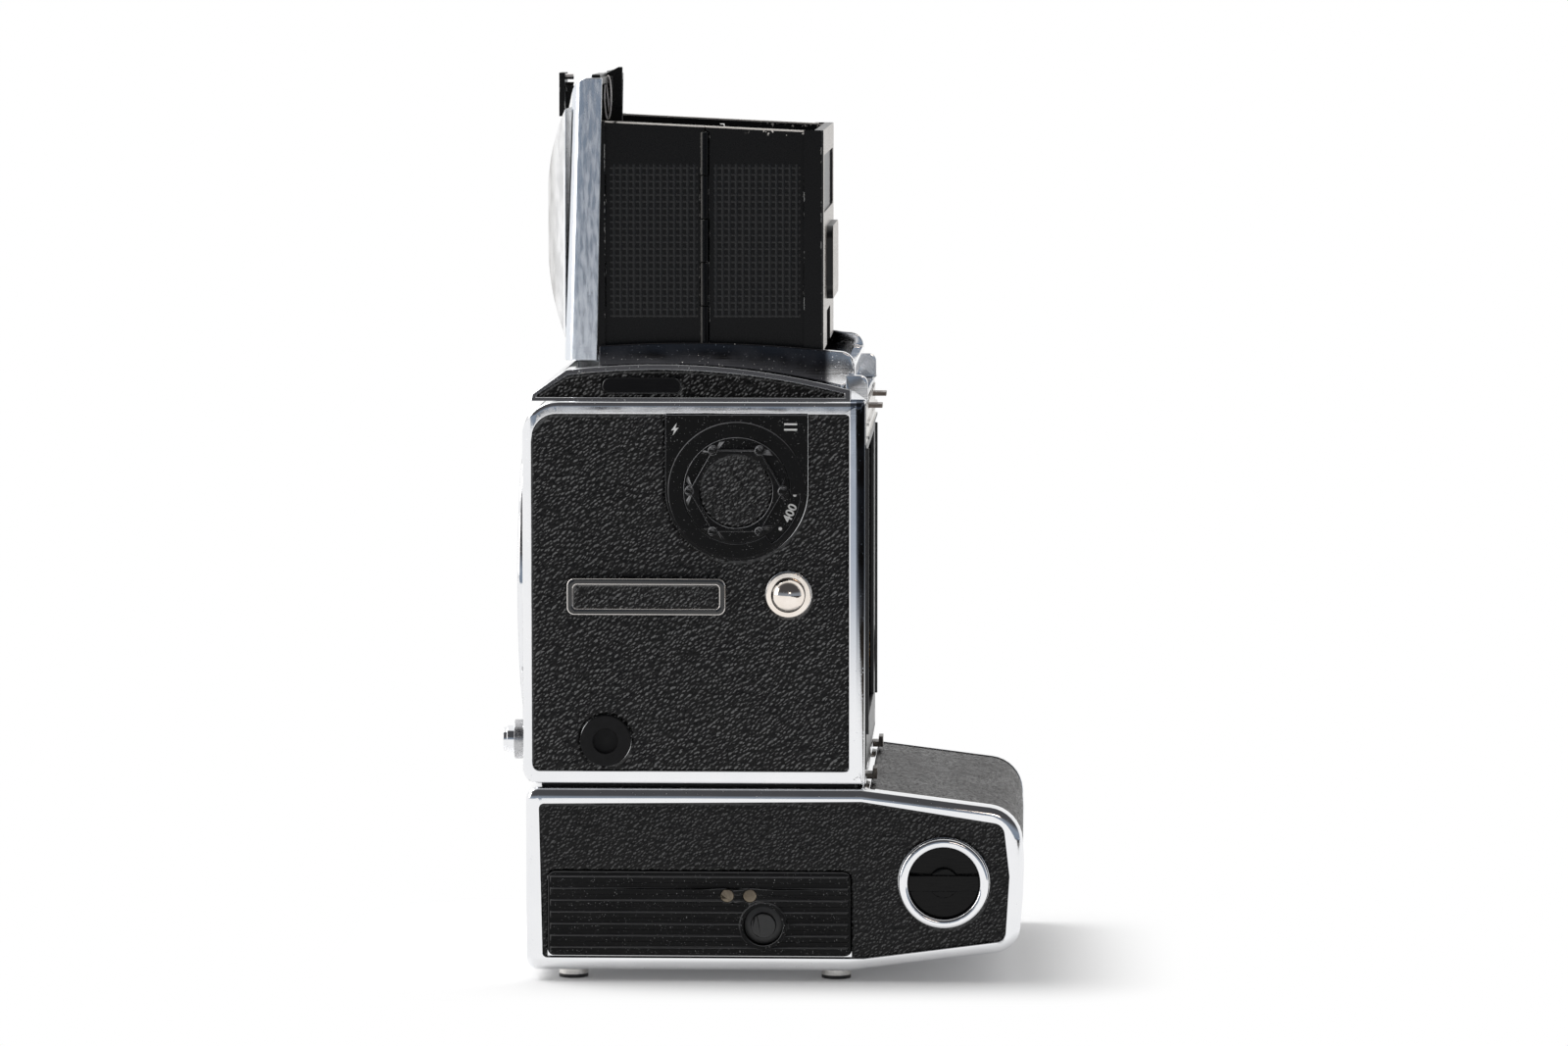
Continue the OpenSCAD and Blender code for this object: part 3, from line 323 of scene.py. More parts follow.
def black_paint(name="black_paint"):
    """Satin black paint with a faint orange peel, worn to bare metal in places along its edges."""
    f = Finish(name, 0.35)
    peel = f.spots(0.35, detail=2.0)
    wear = f.times(f.edge(0.22), f.span(f.spots(1.6, detail=4.0), 0.56, 0.64))
    f.tone(wear, (0.0035, 0.0035, 0.0038), (0.55, 0.54, 0.52))
    f.put("Metallic", f.times(wear, 0.7))
    f.put("Specular IOR Level", 0.2)
    f.put("Roughness", f.span(peel, 0.3, 0.7, 0.26, 0.38))
    f.relief(peel, 0.006)
    return f


def black_plastic(name="black_plastic"):
    """Moulded plastic with a fine matt texture, dust and dull scuffs."""
    f = Finish(name, 0.45)
    grit = f.spots(0.09, detail=3.0)
    dust = f.span(f.spots(0.22, detail=0.0), 0.775, 0.80)
    f.tone(dust, (0.003, 0.003, 0.0032), (0.30, 0.30, 0.30))
    f.put("Specular IOR Level", 0.14)
    f.put("Roughness", f.span(f.spots(6.0), 0.35, 0.7, 0.28, 0.42))
    f.relief(grit, 0.008)
    return f


def gloss_black(name="gloss_black"):
    """Glossy black enamel with fine scratches."""
    f = Finish(name, 0.12, colour=DEEP_BLACK)
    f.put("Roughness", f.span(f.spots(0.2, stretch=(20, 1, 20)), 0.4, 0.7, 0.08, 0.2))
    f.put("Coat Weight", 0.5)
    return f


def rubber():
    """Matt rubber with a slightly dusty bloom."""
    f = Finish("rubber", 0.7)
    bloom = f.spots(1.2, detail=5.0)
    f.tone(bloom, (0.004, 0.004, 0.004), (0.012, 0.012, 0.013))
    f.put("Specular IOR Level", 0.2)
    f.relief(f.spots(0.15), 0.012)
    return f


def glass():
    """Clear coated glass with faint smears."""
    f = Finish("glass", 0.02, colour=(0.97, 0.98, 0.98))
    f.put("Transmission Weight", 1.0)
    f.put("IOR", 1.52)
    f.put("Roughness", f.span(f.spots(8.0), 0.45, 0.75, 0.0, 0.05))
    return f


def ground_glass():
    """Matt focusing screen."""
    f = Finish("ground_glass", 0.45, colour=(0.80, 0.83, 0.82))
    f.put("Transmission Weight", 0.75)
    f.relief(f.spots(0.05), 0.004)
    return f


def mirror():
    """Front-surface mirror with a trace of dust."""
    f = Finish("mirror", 0.01, 1.0, (0.93, 0.94, 0.95))
    f.put("Roughness", f.span(f.spots(0.3, detail=0.0), 0.74, 0.8, 0.01, 0.3))
    return f


def metal(name, dark, light, rough):
    """Turned metal: brass or steel."""
    f = Finish(name, rough, 1.0)
    tone = f.spots(2.5, detail=5.0)
    f.tone(tone, dark, light)
    f.put("Roughness", f.span(f.spots(0.4), 0.3, 0.7, rough * 0.7, rough * 1.4))
    f.relief(f.spots(0.08, stretch=(1, 1, 12)), 0.003)
    return f


def cell_wrap():
    """Printed plastic wrap of a battery cell, in two plain colours."""
    f = Finish("cell_wrap", 0.25)
    rear_end = box_mm("batteries")[1].x
    band = f.along("X", *(rear_end - part for part in WRAP_BAND))
    f.tone(band, (0.02, 0.06, 0.14), (0.5, 0.32, 0.14))
    f.put("Coat Weight", 0.6)
    f.relief(f.spots(1.5), 0.02)
    return f


def board():
    """Green circuit board with lighter tracks."""
    f = Finish("board", 0.35)
    laid = f.add("Mapping", Vector=f.place, Scale=(1 / MM,) * 3)
    lines = f.add("TexBrick", Vector=laid.outputs[0], Scale=0.35, Mortar_Size=0.08)
    track = f.span(lines.outputs["Fac"], 0.3, 0.6)
    f.tone(track, (0.012, 0.06, 0.025), (0.03, 0.16, 0.06))
    f.relief(track, 0.03)
    return f


def wire_finish():
    """Bright drawn wire."""
    f = Finish("wire", 0.5, 0.6, (0.92, 0.88, 0.86))
    f.put("Roughness", f.span(f.spots(0.5), 0.3, 0.7, 0.35, 0.6))
    return f


def lug_finish():
    """Warm bright nickel of the strap lugs."""
    f = chrome("warm_nickel")
    f.tone(f.spots(2.0), (0.80, 0.72, 0.64), (0.94, 0.88, 0.82))
    return f


def rail_finish():
    """Black mirror polish with bright metal on its edge bevels, which paints their highlights; bevels that
    face down are a little dimmer.
    """
    f = gloss_black("rail_enamel")
    # Painted highlights: bright metal on the bevels, stronger on those that face up and to the left.
    bright = f.tilted(0.8)
    f.tone(bright, DEEP_BLACK, (0.97, 0.92, 0.88))
    f.put("Metallic", bright)
    return f


def hood_base_finish():
    """Nickel of the hood's base frame with a painted reflection, dark over most of it and bright at its rear
    end, with light dust.
    """
    f = chrome("nickel_with_painted_reflection")
    dust = f.span(f.spots(0.35, detail=1.0), 0.72, 0.76)
    # Painted reflection: a dark nickel colour over the frame, bright towards its rear end.
    nickel = f.mix(f.along("X", *HOOD_BASE_END_X), (0.05, 0.05, 0.055), (0.82, 0.82, 0.83))
    f.tone(dust, nickel, (0.80, 0.78, 0.75))
    f.relief(f.spots(9.0, stretch=(3, 1, 1), detail=1.0), 0.03)
    return f


LEAF_FACE_Y = 35.1  # outer face of the hood's side walls, from the middle plane
LEAF_TOP_SLOPE = 1 / 21.0
TUBE_SHINE_X = -0.35


def leaf_finish():
    """Black wall leaf: glossier hinge tubes with a painted highlight line along each, a top edge rubbed to
    bare metal, a few chips at its rear.
    """
    f = black_paint("leaf_paint")
    low, high = box_mm("left_front_leaf")
    slope = f.times(f.math("SUBTRACT", f.part("X"), low.x + 0.8), LEAF_TOP_SLOPE)
    top = f.math("ADD", f.math("SUBTRACT", f.part("Z"), high.z), slope)
    rubbed = f.times(f.span(top, *RUBBED_EDGE), f.span(f.spots(3.0, detail=3.0), 0.28, 0.36))
    chips = f.times(f.span(top, *CHIPPED_EDGE), f.span(f.spots(0.9, detail=2.0), 0.60, 0.63))
    chips = f.times(chips, f.along("X", *CHIPPED_LEAF_X))
    # A thin line along each hinge tube is a painted highlight.
    tube = f.span(f.distance("Y"), LEAF_FACE_Y + 0.15, LEAF_FACE_Y + 0.3)
    off_line = f.math("ABSOLUTE", f.math("SUBTRACT", f.part("X"), TUBE_SHINE_X))
    shine = f.times(f.span(off_line, 0.2, 0.1), tube)
    bare_metal_and_painted_shine = f.math("MAXIMUM", f.math("MAXIMUM", rubbed, chips), f.times(shine, 0.15))
    f.tone(bare_metal_and_painted_shine, f.source("Base Color"), BARE_METAL_AND_PAINTED_SHINE)
    f.put("Roughness", f.math("SUBTRACT", f.source("Roughness"), f.times(tube, 0.18)))
    return f


def dot_finish():
    """The same black paint on the raised dots, with no worn spots."""
    f = Finish("dot_paint", 0.3, colour=(0.012, 0.012, 0.0125))
    f.put("Specular IOR Level", 0.35)
    f.put("Roughness", f.span(f.spots(2.0), 0.3, 0.7, 0.24, 0.36))
    return f


def catch_finish():
    """Black paint with one bare metal stud."""
    f = black_paint("catch_paint")
    stud = f.times(f.along("X", *CATCH_STUD_X), f.along("Z", *CATCH_STUD_Z))
    f.tone(stud, f.source("Base Color"), (0.85, 0.82, 0.80))
    f.put("Metallic", stud)
    return f


def knob_finish():
    """Deep black polished plastic of the mode knob, with a few hairlines."""
    f = Finish("knob_plastic", 0.2, colour=(0.0015, 0.0015, 0.0016))
    f.put("Specular IOR Level", 0.16)
    f.put("Roughness", f.span(f.spots(0.2, stretch=(20, 1, 1)), 0.4, 0.7, 0.12, 0.3))
    return f


def latch_finish():
    """Dark grey satin of the battery drawer's latch."""
    f = Finish("latch_grey", 0.35)
    f.tone(f.spots(0.8), (0.010, 0.010, 0.010), (0.022, 0.022, 0.022))
    return f


def white_ink():
    """White filled marks, slightly uneven."""
    f = Finish("white_ink", 0.5)
    f.tone(f.spots(0.4), (0.70, 0.70, 0.68), (0.86, 0.86, 0.84))
    return f


def darken_to_paint(f, share):
    """Turns a metal finish into black paint where share is 1."""
    f.tone(share, f.source("Base Color"), (0.007, 0.007, 0.0075))
    f.put("Metallic", f.math("SUBTRACT", 1.0, share))
    f.put("Roughness", f.math("MAXIMUM", f.source("Roughness"), f.times(share, 0.34)))


def shell_finish():
    """The body's chrome, with a painted reflection on its rear rim: bluish grey, and dark at its rear edge,
    higher up but not low down.
    """
    f = chrome("shell_chrome")
    plain = f.source("Base Color")
    above = f.along("Z", *PAINTED_REFLECTION_Z)
    rim = f.times(f.along("X", *SHELL_RIM_X), above)
    rear_edge = f.times(f.along("X", *SHELL_REAR_EDGE_X), above)
    # Painted reflection: bluish grey on the rear rim and dark on its rear edge, only higher up.
    painted_rim_reflection = f.mix(rim, plain, (0.36, 0.40, 0.47))
    f.tone(rear_edge, painted_rim_reflection, (0.08, 0.09, 0.11))
    return f


LID_FACE_X = -22.4  # the black face that looks into the open hood
LID_FACE_HALF = 36.35


def lid_finish():
    """The lid is chrome outside, and black on the face that looks into the hood."""
    f = chrome("lid_chrome")
    rubbed = f.spots(0.7, stretch=(1, 1, 5), detail=6.0)
    f.tone(f.spots(4.0, stretch=(1, 1, 4)), (0.72, 0.76, 0.82), (0.88, 0.90, 0.93))
    f.put("Roughness", f.span(rubbed, 0.35, 0.7, 0.12, 0.26))
    f.relief(rubbed, 0.0018)
    f.relief(f.spots(5.0, stretch=(1, 1, 3), detail=2.0), 0.012)
    inner = f.along("X", LID_FACE_X - 0.05, LID_FACE_X + 0.05)
    width = f.math("LESS_THAN", f.distance("Y"), LID_FACE_HALF)
    darken_to_paint(f, f.times(inner, width))
    return f


PLATE_FRONT_X = 33.0
GATE_SLOPE = 3.0


def rear_plate_finish():
    """The magazine's seat: light metal above the film gate, black beside and below it."""
    f = satin_metal("seat_metal")
    rise = f.times(f.math("SUBTRACT", f.part("X"), PLATE_FRONT_X), GATE_SLOPE)
    above_gate = f.math("SUBTRACT", f.part("Z"), rise)
    darken_to_paint(f, f.span(above_gate, *GATE_TOP_Z))
    return f


def cover_finish():
    """Chrome of the domed lid cover, with a painted dark reflection where it is seen edge-on."""
    f = chrome("cover_chrome")
    facing = f.add("LayerWeight", Blend=0.5).outputs["Facing"]
    # Painted dark reflection, set by how squarely the surface faces the viewer.
    f.tone(f.span(facing, 0.93, 0.985), (0.97, 0.97, 0.98), (0.10, 0.075, 0.06))
    return f


def feet_finish():
    """Light metal cups with dark rubber pads under them."""
    f = satin_metal("foot_metal")
    darken_to_paint(f, f.along("Z", *FOOT_PAD_Z))
    return f


HANDLE_DEPTH = 1.5  # the raised plate on the rear panel stands out by this much


def panel_finish():
    """The rear panel is light metal on its rear face and black on its edges, inside and in its window."""
    f = satin_metal("panel_metal")
    f.tone(f.spots(9.0), (0.30, 0.275, 0.25), (0.42, 0.39, 0.36))
    face = box_mm("rear_panel")[1].x - HANDLE_DEPTH
    back = f.along("X", *(face - part for part in PANEL_SKIN))
    rearward = f.span(f.normal_parts()[0], 0.3, 0.6)
    darken_to_paint(f, f.math("SUBTRACT", 1.0, f.times(back, rearward)))
    return f


def make_finishes():
    """One finish for each material slot of the record, and a few more for single nodes."""
    by_slot = {f.name: f for f in (
        chrome(), satin_metal(), leather("leather", (0.9, 0.8, 0.58), 0.17),
        leather("fine_leather", (0.75, 0.7, 0.55), 0.10), ledge_leather(), black_paint(), black_plastic(),
        gloss_black(), rubber(), glass(), ground_glass(), mirror(), cell_wrap(), board(), white_ink(),
        wire_finish(), metal("brass", (0.42, 0.27, 0.12), (0.72, 0.50, 0.24), 0.28),
        metal("steel", (0.40, 0.40, 0.41), (0.58, 0.58, 0.59), 0.3),
    )}
    by_node = {
        "lid_frame": lid_finish(), "rear_panel": panel_finish(), "accessory_rail": rail_finish(),
        "hood_base": hood_base_finish(), "leaf": leaf_finish(), "dots": dot_finish(),
        "magnifier_catch": catch_finish(), "mode_knob": knob_finish(), "body_shell": shell_finish(),
        "rear_plate": rear_plate_finish(), "strap_lugs": lug_finish(), "battery_latch_button": latch_finish(),
        "lid_cover": cover_finish(), "rubber_feet": feet_finish(),
        # The next three plastics get painted edge highlights in these colours.
        "iso_dial": edged_plastic("dial_plastic", (0.40, 0.40, 0.41)),
        "iso_plate": edged_plastic("plate_plastic", (0.20, 0.20, 0.205)),
        "battery_cover": edged_plastic("cover_plastic", (0.12, 0.12, 0.122)),
        "magazine_upper_hooks": metal("upper_hook_steel", (0.10, 0.085, 0.075), (0.26, 0.22, 0.19), 0.35),
        # The lower hooks take a darker copy of the hooks' steel: painted shade.
        "magazine_lower_hooks": metal("lower_hook_steel", (0.05, 0.045, 0.04), (0.16, 0.14, 0.12), 0.35),
        "battery_contacts": metal("dull_contact", (0.11, 0.09, 0.065), (0.26, 0.22, 0.17), 0.4),
    }
    return {**by_slot, **by_node}


finishes = make_finishes()


# ---- Meshes and pieces ----

WELD_DISTANCE = 0.002 * MM


def mesh_from(bm, name):
    """A mesh with bm's contents; bm is used up."""
    mesh = bpy.data.meshes.new(name)
    bm.to_mesh(mesh)
    bm.free()
    return mesh


def skin(bm, rings, closed=False):
    """Joins rings of points to a solid, round to the first one if closed, or else with a cap at each end."""
    last = [(rings[-1], rings[0])] if closed else []
    for a, b in list(zip(rings, rings[1:])) + last:
        for k in range(len(a)):
            after = (k + 1) % len(a)
            bm.faces.new((a[k], a[after], b[after], b[k]))
    if not closed:
        bm.faces.new(rings[0][::-1])
        bm.faces.new(rings[-1])
    bmesh.ops.recalc_face_normals(bm, faces=bm.faces)


def smooth(mesh, crease):
    """Smooth shading, with sharp edges where the surface turns by more than crease degrees."""
    mesh.shade_smooth()
    mesh.set_sharp_from_angle(angle=math.radians(crease))


def paint(mesh, finish):
    mesh.materials.clear()
    mesh.materials.append(finish.material)


def add_object(name, data):
    obj = bpy.data.objects.new(name, data)
    bpy.context.scene.collection.objects.link(obj)
    return obj


def add_piece(name, mesh, node):
    """Adds a mesh in the row frame as a piece that moves with a CAD node's body."""
    obj = add_object(name, mesh)
    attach(obj, NODES[node]["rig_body"])
    return obj


def node_half(node, side=0.0):
    """A CAD node's solid as a bmesh: all of it, or its left half for side -1 and its right half for 1."""
    bm = bmesh.new()
    bm.from_mesh(NODES[node].data)
    bmesh.ops.remove_doubles(bm, verts=bm.verts, dist=WELD_DISTANCE)
    if abs(side) > 0.1:
        others = [v for v in bm.verts if v.co.y * side < 0]
        bmesh.ops.delete(bm, geom=others, context="VERTS")
    return bm


def solid_from_boolean(sheet, cutter):
    """The part of the sheet inside the cutter, as a new mesh."""
    objects = [add_object(m.name, m) for m in (sheet, cutter)]
    cut = objects[0].modifiers.new("cut", "BOOLEAN")
    cut.operation = "INTERSECT"
    cut.solver = "MANIFOLD"
    cut.object = objects[1]
    graph = bpy.context.evaluated_depsgraph_get()
    mesh = bpy.data.meshes.new_from_object(objects[0].evaluated_get(graph))
    for o in objects:
        bpy.data.objects.remove(o)
    return mesh


# ---- CAD nodes that stay ----

BEVEL = {"body_shell": 0.15, "base_shell": 0.15, "lens_mount": 0.3, "strap_lugs": 0.25, "lid_frame": 0.2,
         "hood_base": 0.3, "knob_bezel": 0.7, "battery_cover": 0.18, "accessory_rail": 0.28}
PLAIN_BEVEL = 0.12


def outline_of(node):
    """The node's outline seen from the side, as convex points in millimetres, counter-clockwise."""
    flat = [Vector((v.co.x, v.co.z)) for v in NODES[node].data.vertices]
    order = geometry.convex_hull_2d(flat)
    loop = [flat[k] / MM for k in order]
    kept = [p for k, p in enumerate(loop) if (p - loop[k - 1]).length > 0.05]
    area = sum(a.x * b.y - b.x * a.y for a, b in zip(kept, kept[1:] + kept[:1]))
    return kept if area > 0 else kept[::-1]


def inset(loop, depth, rear_share=0.0):
    """Moves each point of a convex outline inwards by depth, and by more on edges that face the rear."""
    moved = []
    for k, p in enumerate(loop):
        before = (p - loop[k - 1]).normalized()
        after = (loop[(k + 1) % len(loop)] - p).normalized()
        n1, n2 = Vector((-before.y, before.x)), Vector((-after.y, after.x))
        rear = max(0.0, -(n1 + n2).normalized().x)
        moved.append(p + (n1 + n2) * depth * (1 + rear_share * rear) / (1 + n1.dot(n2)))
    return moved


def rounded_shell(name, node, across, deep, rear_share=0.0):
    """Stands for a shell node: the same solid, with its two outer edges rounded over the rim.

    Across is the rounding's reach on the side face, and deep its reach along the camera's width.
    """
    loop = outline_of(node)
    half = box_mm(node)[1].y
    steps = 7
    rings = []
    for k in range(steps + 1):
        t = math.pi / 2 * k / steps
        rings.append((-half - 0.01 + deep * (1 - math.cos(t)), across * (1 - math.sin(t)) - 0.01))
    rings += [(-y, d) for y, d in rings[::-1]]
    bm = bmesh.new()
    at = lambda p, y: bm.verts.new(Vector((p.x, y, p.y)) * MM)
    skin(bm, [[at(p, y) for p in inset(loop, d, rear_share)] for y, d in rings])
    envelope = mesh_from(bm, "envelope")
    copy = mesh_from(node_half(node), "copy")
    mesh = solid_from_boolean(copy, envelope)
    obj = add_piece(name, mesh, node)
    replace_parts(obj, node)
    dress(node, obj)


def dress(node, stand_in=None):
    """Bevels the edges of a CAD node, or of its stand-in, by a modifier, and gives it its finish."""
    obj = stand_in or NODES[node]
    finish = finishes.get("leaf" if node.endswith("_leaf") else node) or finishes[SLOT_OF[node]]
    paint(obj.data, finish)
    custom = obj.data.attributes.get("custom_normal")
    if custom:
        obj.data.attributes.remove(custom)
    smooth(obj.data, 30)
    weld = obj.modifiers.new("weld", "WELD")
    weld.merge_threshold = WELD_DISTANCE
    bevel = obj.modifiers.new("bevel", "BEVEL")
    bevel.width = BEVEL.get(node, PLAIN_BEVEL) * MM
    bevel.segments = 3
    bevel.limit_method = "ANGLE"
    bevel.use_clamp_overlap = False
    bevel.angle_limit = math.radians(32)
    normals = obj.modifiers.new("normals", "WEIGHTED_NORMAL")
    normals.keep_sharp = True


# ---- Relief sheets of leather ----

GRAIN_DEPTH = 0.16
EDGE_DROP = 0.35  # a sheet's face falls by this much over EDGE_WIDTH along its rim
EDGE_WIDTH = 0.6
SHEEN_FROM = 0.14  # lean towards the light at which a pebble starts to shine
SHEEN_SPAN = 0.3

# Length and width of a pebble, its angle in degrees, and the seed of its scatter
LONG_GRAIN = (1.35, 0.66, 38, 3)
DIAL_GRAIN = (1.3, 0.5, 62, 5)
ROUND_GRAIN = (0.8, 0.65, 20, 8)
RAIL_GRAIN = (1.2, 0.5, 60, 11)

# Two directions that lie in a sheet
LEFT = ((1, 0, 0), (0, 0, 1))
RIGHT = ((-1, 0, 0), (0, 0, 1))
FRONT = ((0, -1, 0), (0, 0, 1))


def scatter(i, j, seed):
    """A number from 0 to 1 for each lattice cell, the same on each run."""
    value = np.sin(i * 127.1 + j * 311.7 + seed * 74.7) * 43758.5453
    return value - np.floor(value)


def pebbles(u, v, length, width, angle, seed):
    """Height from 0 in the grooves to 1 on top of long pebbles that lie at an angle, u and v in mm."""
    turn = math.radians(angle)
    a = (u * math.cos(turn) + v * math.sin(turn)) / length
    b = (v * math.cos(turn) - u * math.sin(turn)) / width
    a = a + 0.4 * np.sin(0.55 * b + 0.3 * a + seed)
    b = b + 0.5 * np.sin(0.8 * a + 0.17 * b + 2 * seed)
    i, j = np.floor(a), np.floor(b)
    near = np.full(a.shape, 9.0)
    second = near.copy()
    for di in (-1, 0, 1):
        for dj in (-1, 0, 1):
            x = i + di + scatter(i + di, j + dj, seed)
            y = j + dj + scatter(i + di, j + dj, seed + 1)
            d = np.hypot(x - a, y - b)
            second = np.minimum(second, np.maximum(near, d))
            near = np.minimum(near, d)
    return np.clip((second - near) / 0.6, 0, 1) ** 0.7


def underside(top, axis, value):
    """The two long edges of a grid of top points, moved to one place along an axis."""
    under = np.stack([top[:, 0], top[:, -1]], axis=1)
    under[:, :, axis] = value
    return under


def closed_sheet(name, top, under):
    """A closed solid from a grid of top points and the two long edges of its underside."""
    rows, cols = top.shape[:2]
    points = np.concatenate([top.reshape(-1, 3), under.reshape(-1, 3)])
    at = lambda i, j: i * cols + j
    low = lambda i, end: rows * cols + 2 * i + end
    last = cols - 1
    faces = []
    for i in range(rows - 1):
        faces += [(at(i, j), at(i + 1, j), at(i + 1, j + 1), at(i, j + 1)) for j in range(last)]
        faces.append((low(i, 0), low(i, 1), low(i + 1, 1), low(i + 1, 0)))
        faces.append((low(i, 0), low(i + 1, 0), at(i + 1, 0), at(i, 0)))
        faces.append((low(i, 1), at(i, last), at(i + 1, last), low(i + 1, 1)))
    faces.append([low(0, 1), low(0, 0)] + [at(0, j) for j in range(cols)])
    faces.append([low(rows - 1, 0), low(rows - 1, 1)] + [at(rows - 1, last - j) for j in range(cols)])
    mesh = bpy.data.meshes.new(name)
    mesh.from_pydata(points.tolist(), [], faces)
    mesh.update()
    return mesh


def rim_points(bm, outer, spacing):
    """Points along the outline of the sheet's outer face, in the sheet's own frame."""
    found = []
    for e in bm.edges:
        if len(e.link_faces) != 2 or min(v.co.z for v in e.verts) < outer - 0.01 * MM:
            continue
        if min(f.normal.z for f in e.link_faces) > 0.9:
            continue
        a, b = (v.co for v in e.verts)
        steps = max(1, math.ceil((b - a).length / spacing))
        found += [a.lerp(b, k / steps) for k in range(steps + 1)]
    tree = KDTree(len(found))
    for k, p in enumerate(found):
        tree.insert((p.x, p.y, 0), k)
    tree.balance()
    return tree


def add_sheen(mesh, out, up):
    """Stores how far each point of a relief leans towards up, for the light that its pebbles catch."""
    normals = np.empty(len(mesh.vertices) * 3, dtype=np.float32)
    mesh.vertex_normals.foreach_get("vector", normals)
    normals = normals.reshape(-1, 3)
    lean = normals @ np.array(Vector(up).normalized())
    lean = np.clip((lean - SHEEN_FROM) / SHEEN_SPAN, 0, 1) * (normals @ np.array(Vector(out)) > 0.3)
    layer = mesh.attributes.new("sheen", "FLOAT", "POINT")
    layer.data.foreach_set("value", lean.astype(np.float32))


def flat_sheet(node, u, v, grain, step):
    """Relief leather in the place of a flat CAD sheet. u and v lie in it, and u x v points outwards."""
    u, v = Vector(u).normalized(), Vector(v).normalized()
    n = u.cross(v)
    to_frame = Matrix((u, v, n)).transposed().to_4x4()
    bm = node_half(node, n.y)
    bm.transform(to_frame.inverted())
    bm.normal_update()
    heights = [w.co.z for w in bm.verts]
    outer, inner = max(heights), min(heights)
    rim = rim_points(bm, outer, 0.3 * MM)
    margin = 0.4 * MM
    places = [[w.co[k] for w in bm.verts] for k in (0, 1)]
    us, vs = (np.arange(min(c) - margin, max(c) + margin + step * MM, step * MM) for c in places)
    gu, gv = np.meshgrid(us, vs, indexing="ij")
    rim_d = np.array([rim.find((x, y, 0))[2] for x, y in zip(gu.ravel(), gv.ravel())]).reshape(gu.shape) / MM
    z = outer / MM - GRAIN_DEPTH * (1 - pebbles(gu / MM, gv / MM, *grain))
    z -= EDGE_DROP * np.clip(1 - rim_d / EDGE_WIDTH, 0, 1) ** 2
    top = np.stack([gu, gv, z * MM], axis=-1)
    sheet = closed_sheet("sheet", top, underside(top, 2, inner))
    for w in bm.verts:
        w.co.z += (1 if w.co.z > (outer + inner) / 2 else -1) * MM
    cutter = mesh_from(bm, "cutter")
    mesh = solid_from_boolean(sheet, cutter)
    add_sheen(mesh, (0, 0, 1), (-0.45, 0.9, 0))
    mesh.transform(to_frame)
    return mesh


def leather_piece(name, node, meshes):
    """Joins sheets into the one piece that stands for a leather node."""
    bm = bmesh.new()
    for mesh in meshes:
        bm.from_mesh(mesh)
    mesh = mesh_from(bm, name)
    smooth(mesh, 55)
    grade = {"base_side_leathers": "fine_leather", "base_wrap_leather": "ledge_leather"}.get(node, "leather")
    paint(mesh, finishes[grade])
    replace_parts(add_piece(name, mesh, node), node)


def flat_piece(name, node, *sheets):
    """A leather node's piece from flat sheets, each given by its two directions, its grain and its step."""
    leather_piece(name, node, [flat_sheet(node, *sheet) for sheet in sheets])


def shoulder_axes(side):
    """Directions in the sloping shoulder sheet: side is -1 for left and 1 for right."""
    bm = node_half("shoulder_leathers", side)
    outward = lambda face: face.normal.y * side + face.normal.z * 0.5 + face.calc_area() * 1e3
    slope = max(bm.faces, key=outward).normal.copy()
    bm.free()
    u = Vector((-side, 0, 0))
    return u, slope.cross(u)


# Half a turn of rays that find the base's rear outline, in degrees
FAN_START = 135
FAN_STEP = 0.125


def wrap_sheet(step):
    """Relief leather over the base's rear ledge and end, on the face of the CAD sheet seen from outside."""
    low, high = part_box("base_wrap_leather")
    bm = bmesh.new()
    bm.from_mesh(NODES["base_wrap_leather"].data)
    tree = BVHTree.FromBMesh(bm)
    centre = Vector((low.x + 6 * MM, 0, low.z + 12 * MM))
    reach = 100 * MM
    path = []
    for k in range(int(180 / FAN_STEP) + 1):
        turn = math.radians(FAN_START - k * FAN_STEP)
        out = Vector((math.cos(turn), 0, math.sin(turn)))
        hit = tree.ray_cast(centre + out * reach, -out)[0]
        if hit:
            path.append((hit.x, hit.z))
    bm.free()
    path = np.array(path)
    length = np.concatenate([[0], np.cumsum(np.hypot(*np.diff(path, axis=0).T))])
    s = np.linspace(0, length[-1], int(length[-1] / (step * MM)))
    x, z = (np.interp(s, length, path[:, k]) for k in (0, 1))
    tangent = np.stack([np.gradient(x), np.gradient(z)], axis=1)
    soft = np.ones(5) / 5
    tangent = np.stack([np.convolve(np.pad(tangent[:, k], 2, "edge"), soft, "valid") for k in (0, 1)], axis=1)
    tangent /= np.hypot(*tangent.T)[:, None]
    normal = np.stack([-tangent[:, 1], tangent[:, 0]], axis=1)
    y = np.arange(low.y, high.y + 1e-9, (high.y - low.y) / int((high.y - low.y) / (step * MM)))
    gs, gy = np.meshgrid(s, y, indexing="ij")
    rim_d = np.minimum(np.minimum(gs, s[-1] - gs), np.minimum(gy - low.y, high.y - gy)) / MM
    drop = GRAIN_DEPTH * (1 - pebbles(gy / MM, gs / MM, *ROUND_GRAIN))
    drop = (drop + EDGE_DROP * np.clip(1 - rim_d / EDGE_WIDTH, 0, 1) ** 2) * MM
    top = np.stack([x[:, None] - drop * normal[:, :1], gy, z[:, None] - drop * normal[:, 1:]], axis=-1)
    depth = 0.75 * MM
    edge = np.stack([x - depth * normal[:, 0], z - depth * normal[:, 1]], axis=1)
    under = np.array([[[px, y[0], pz], [px, y[-1], pz]] for px, pz in edge])
    return closed_sheet("wrap", top, under)


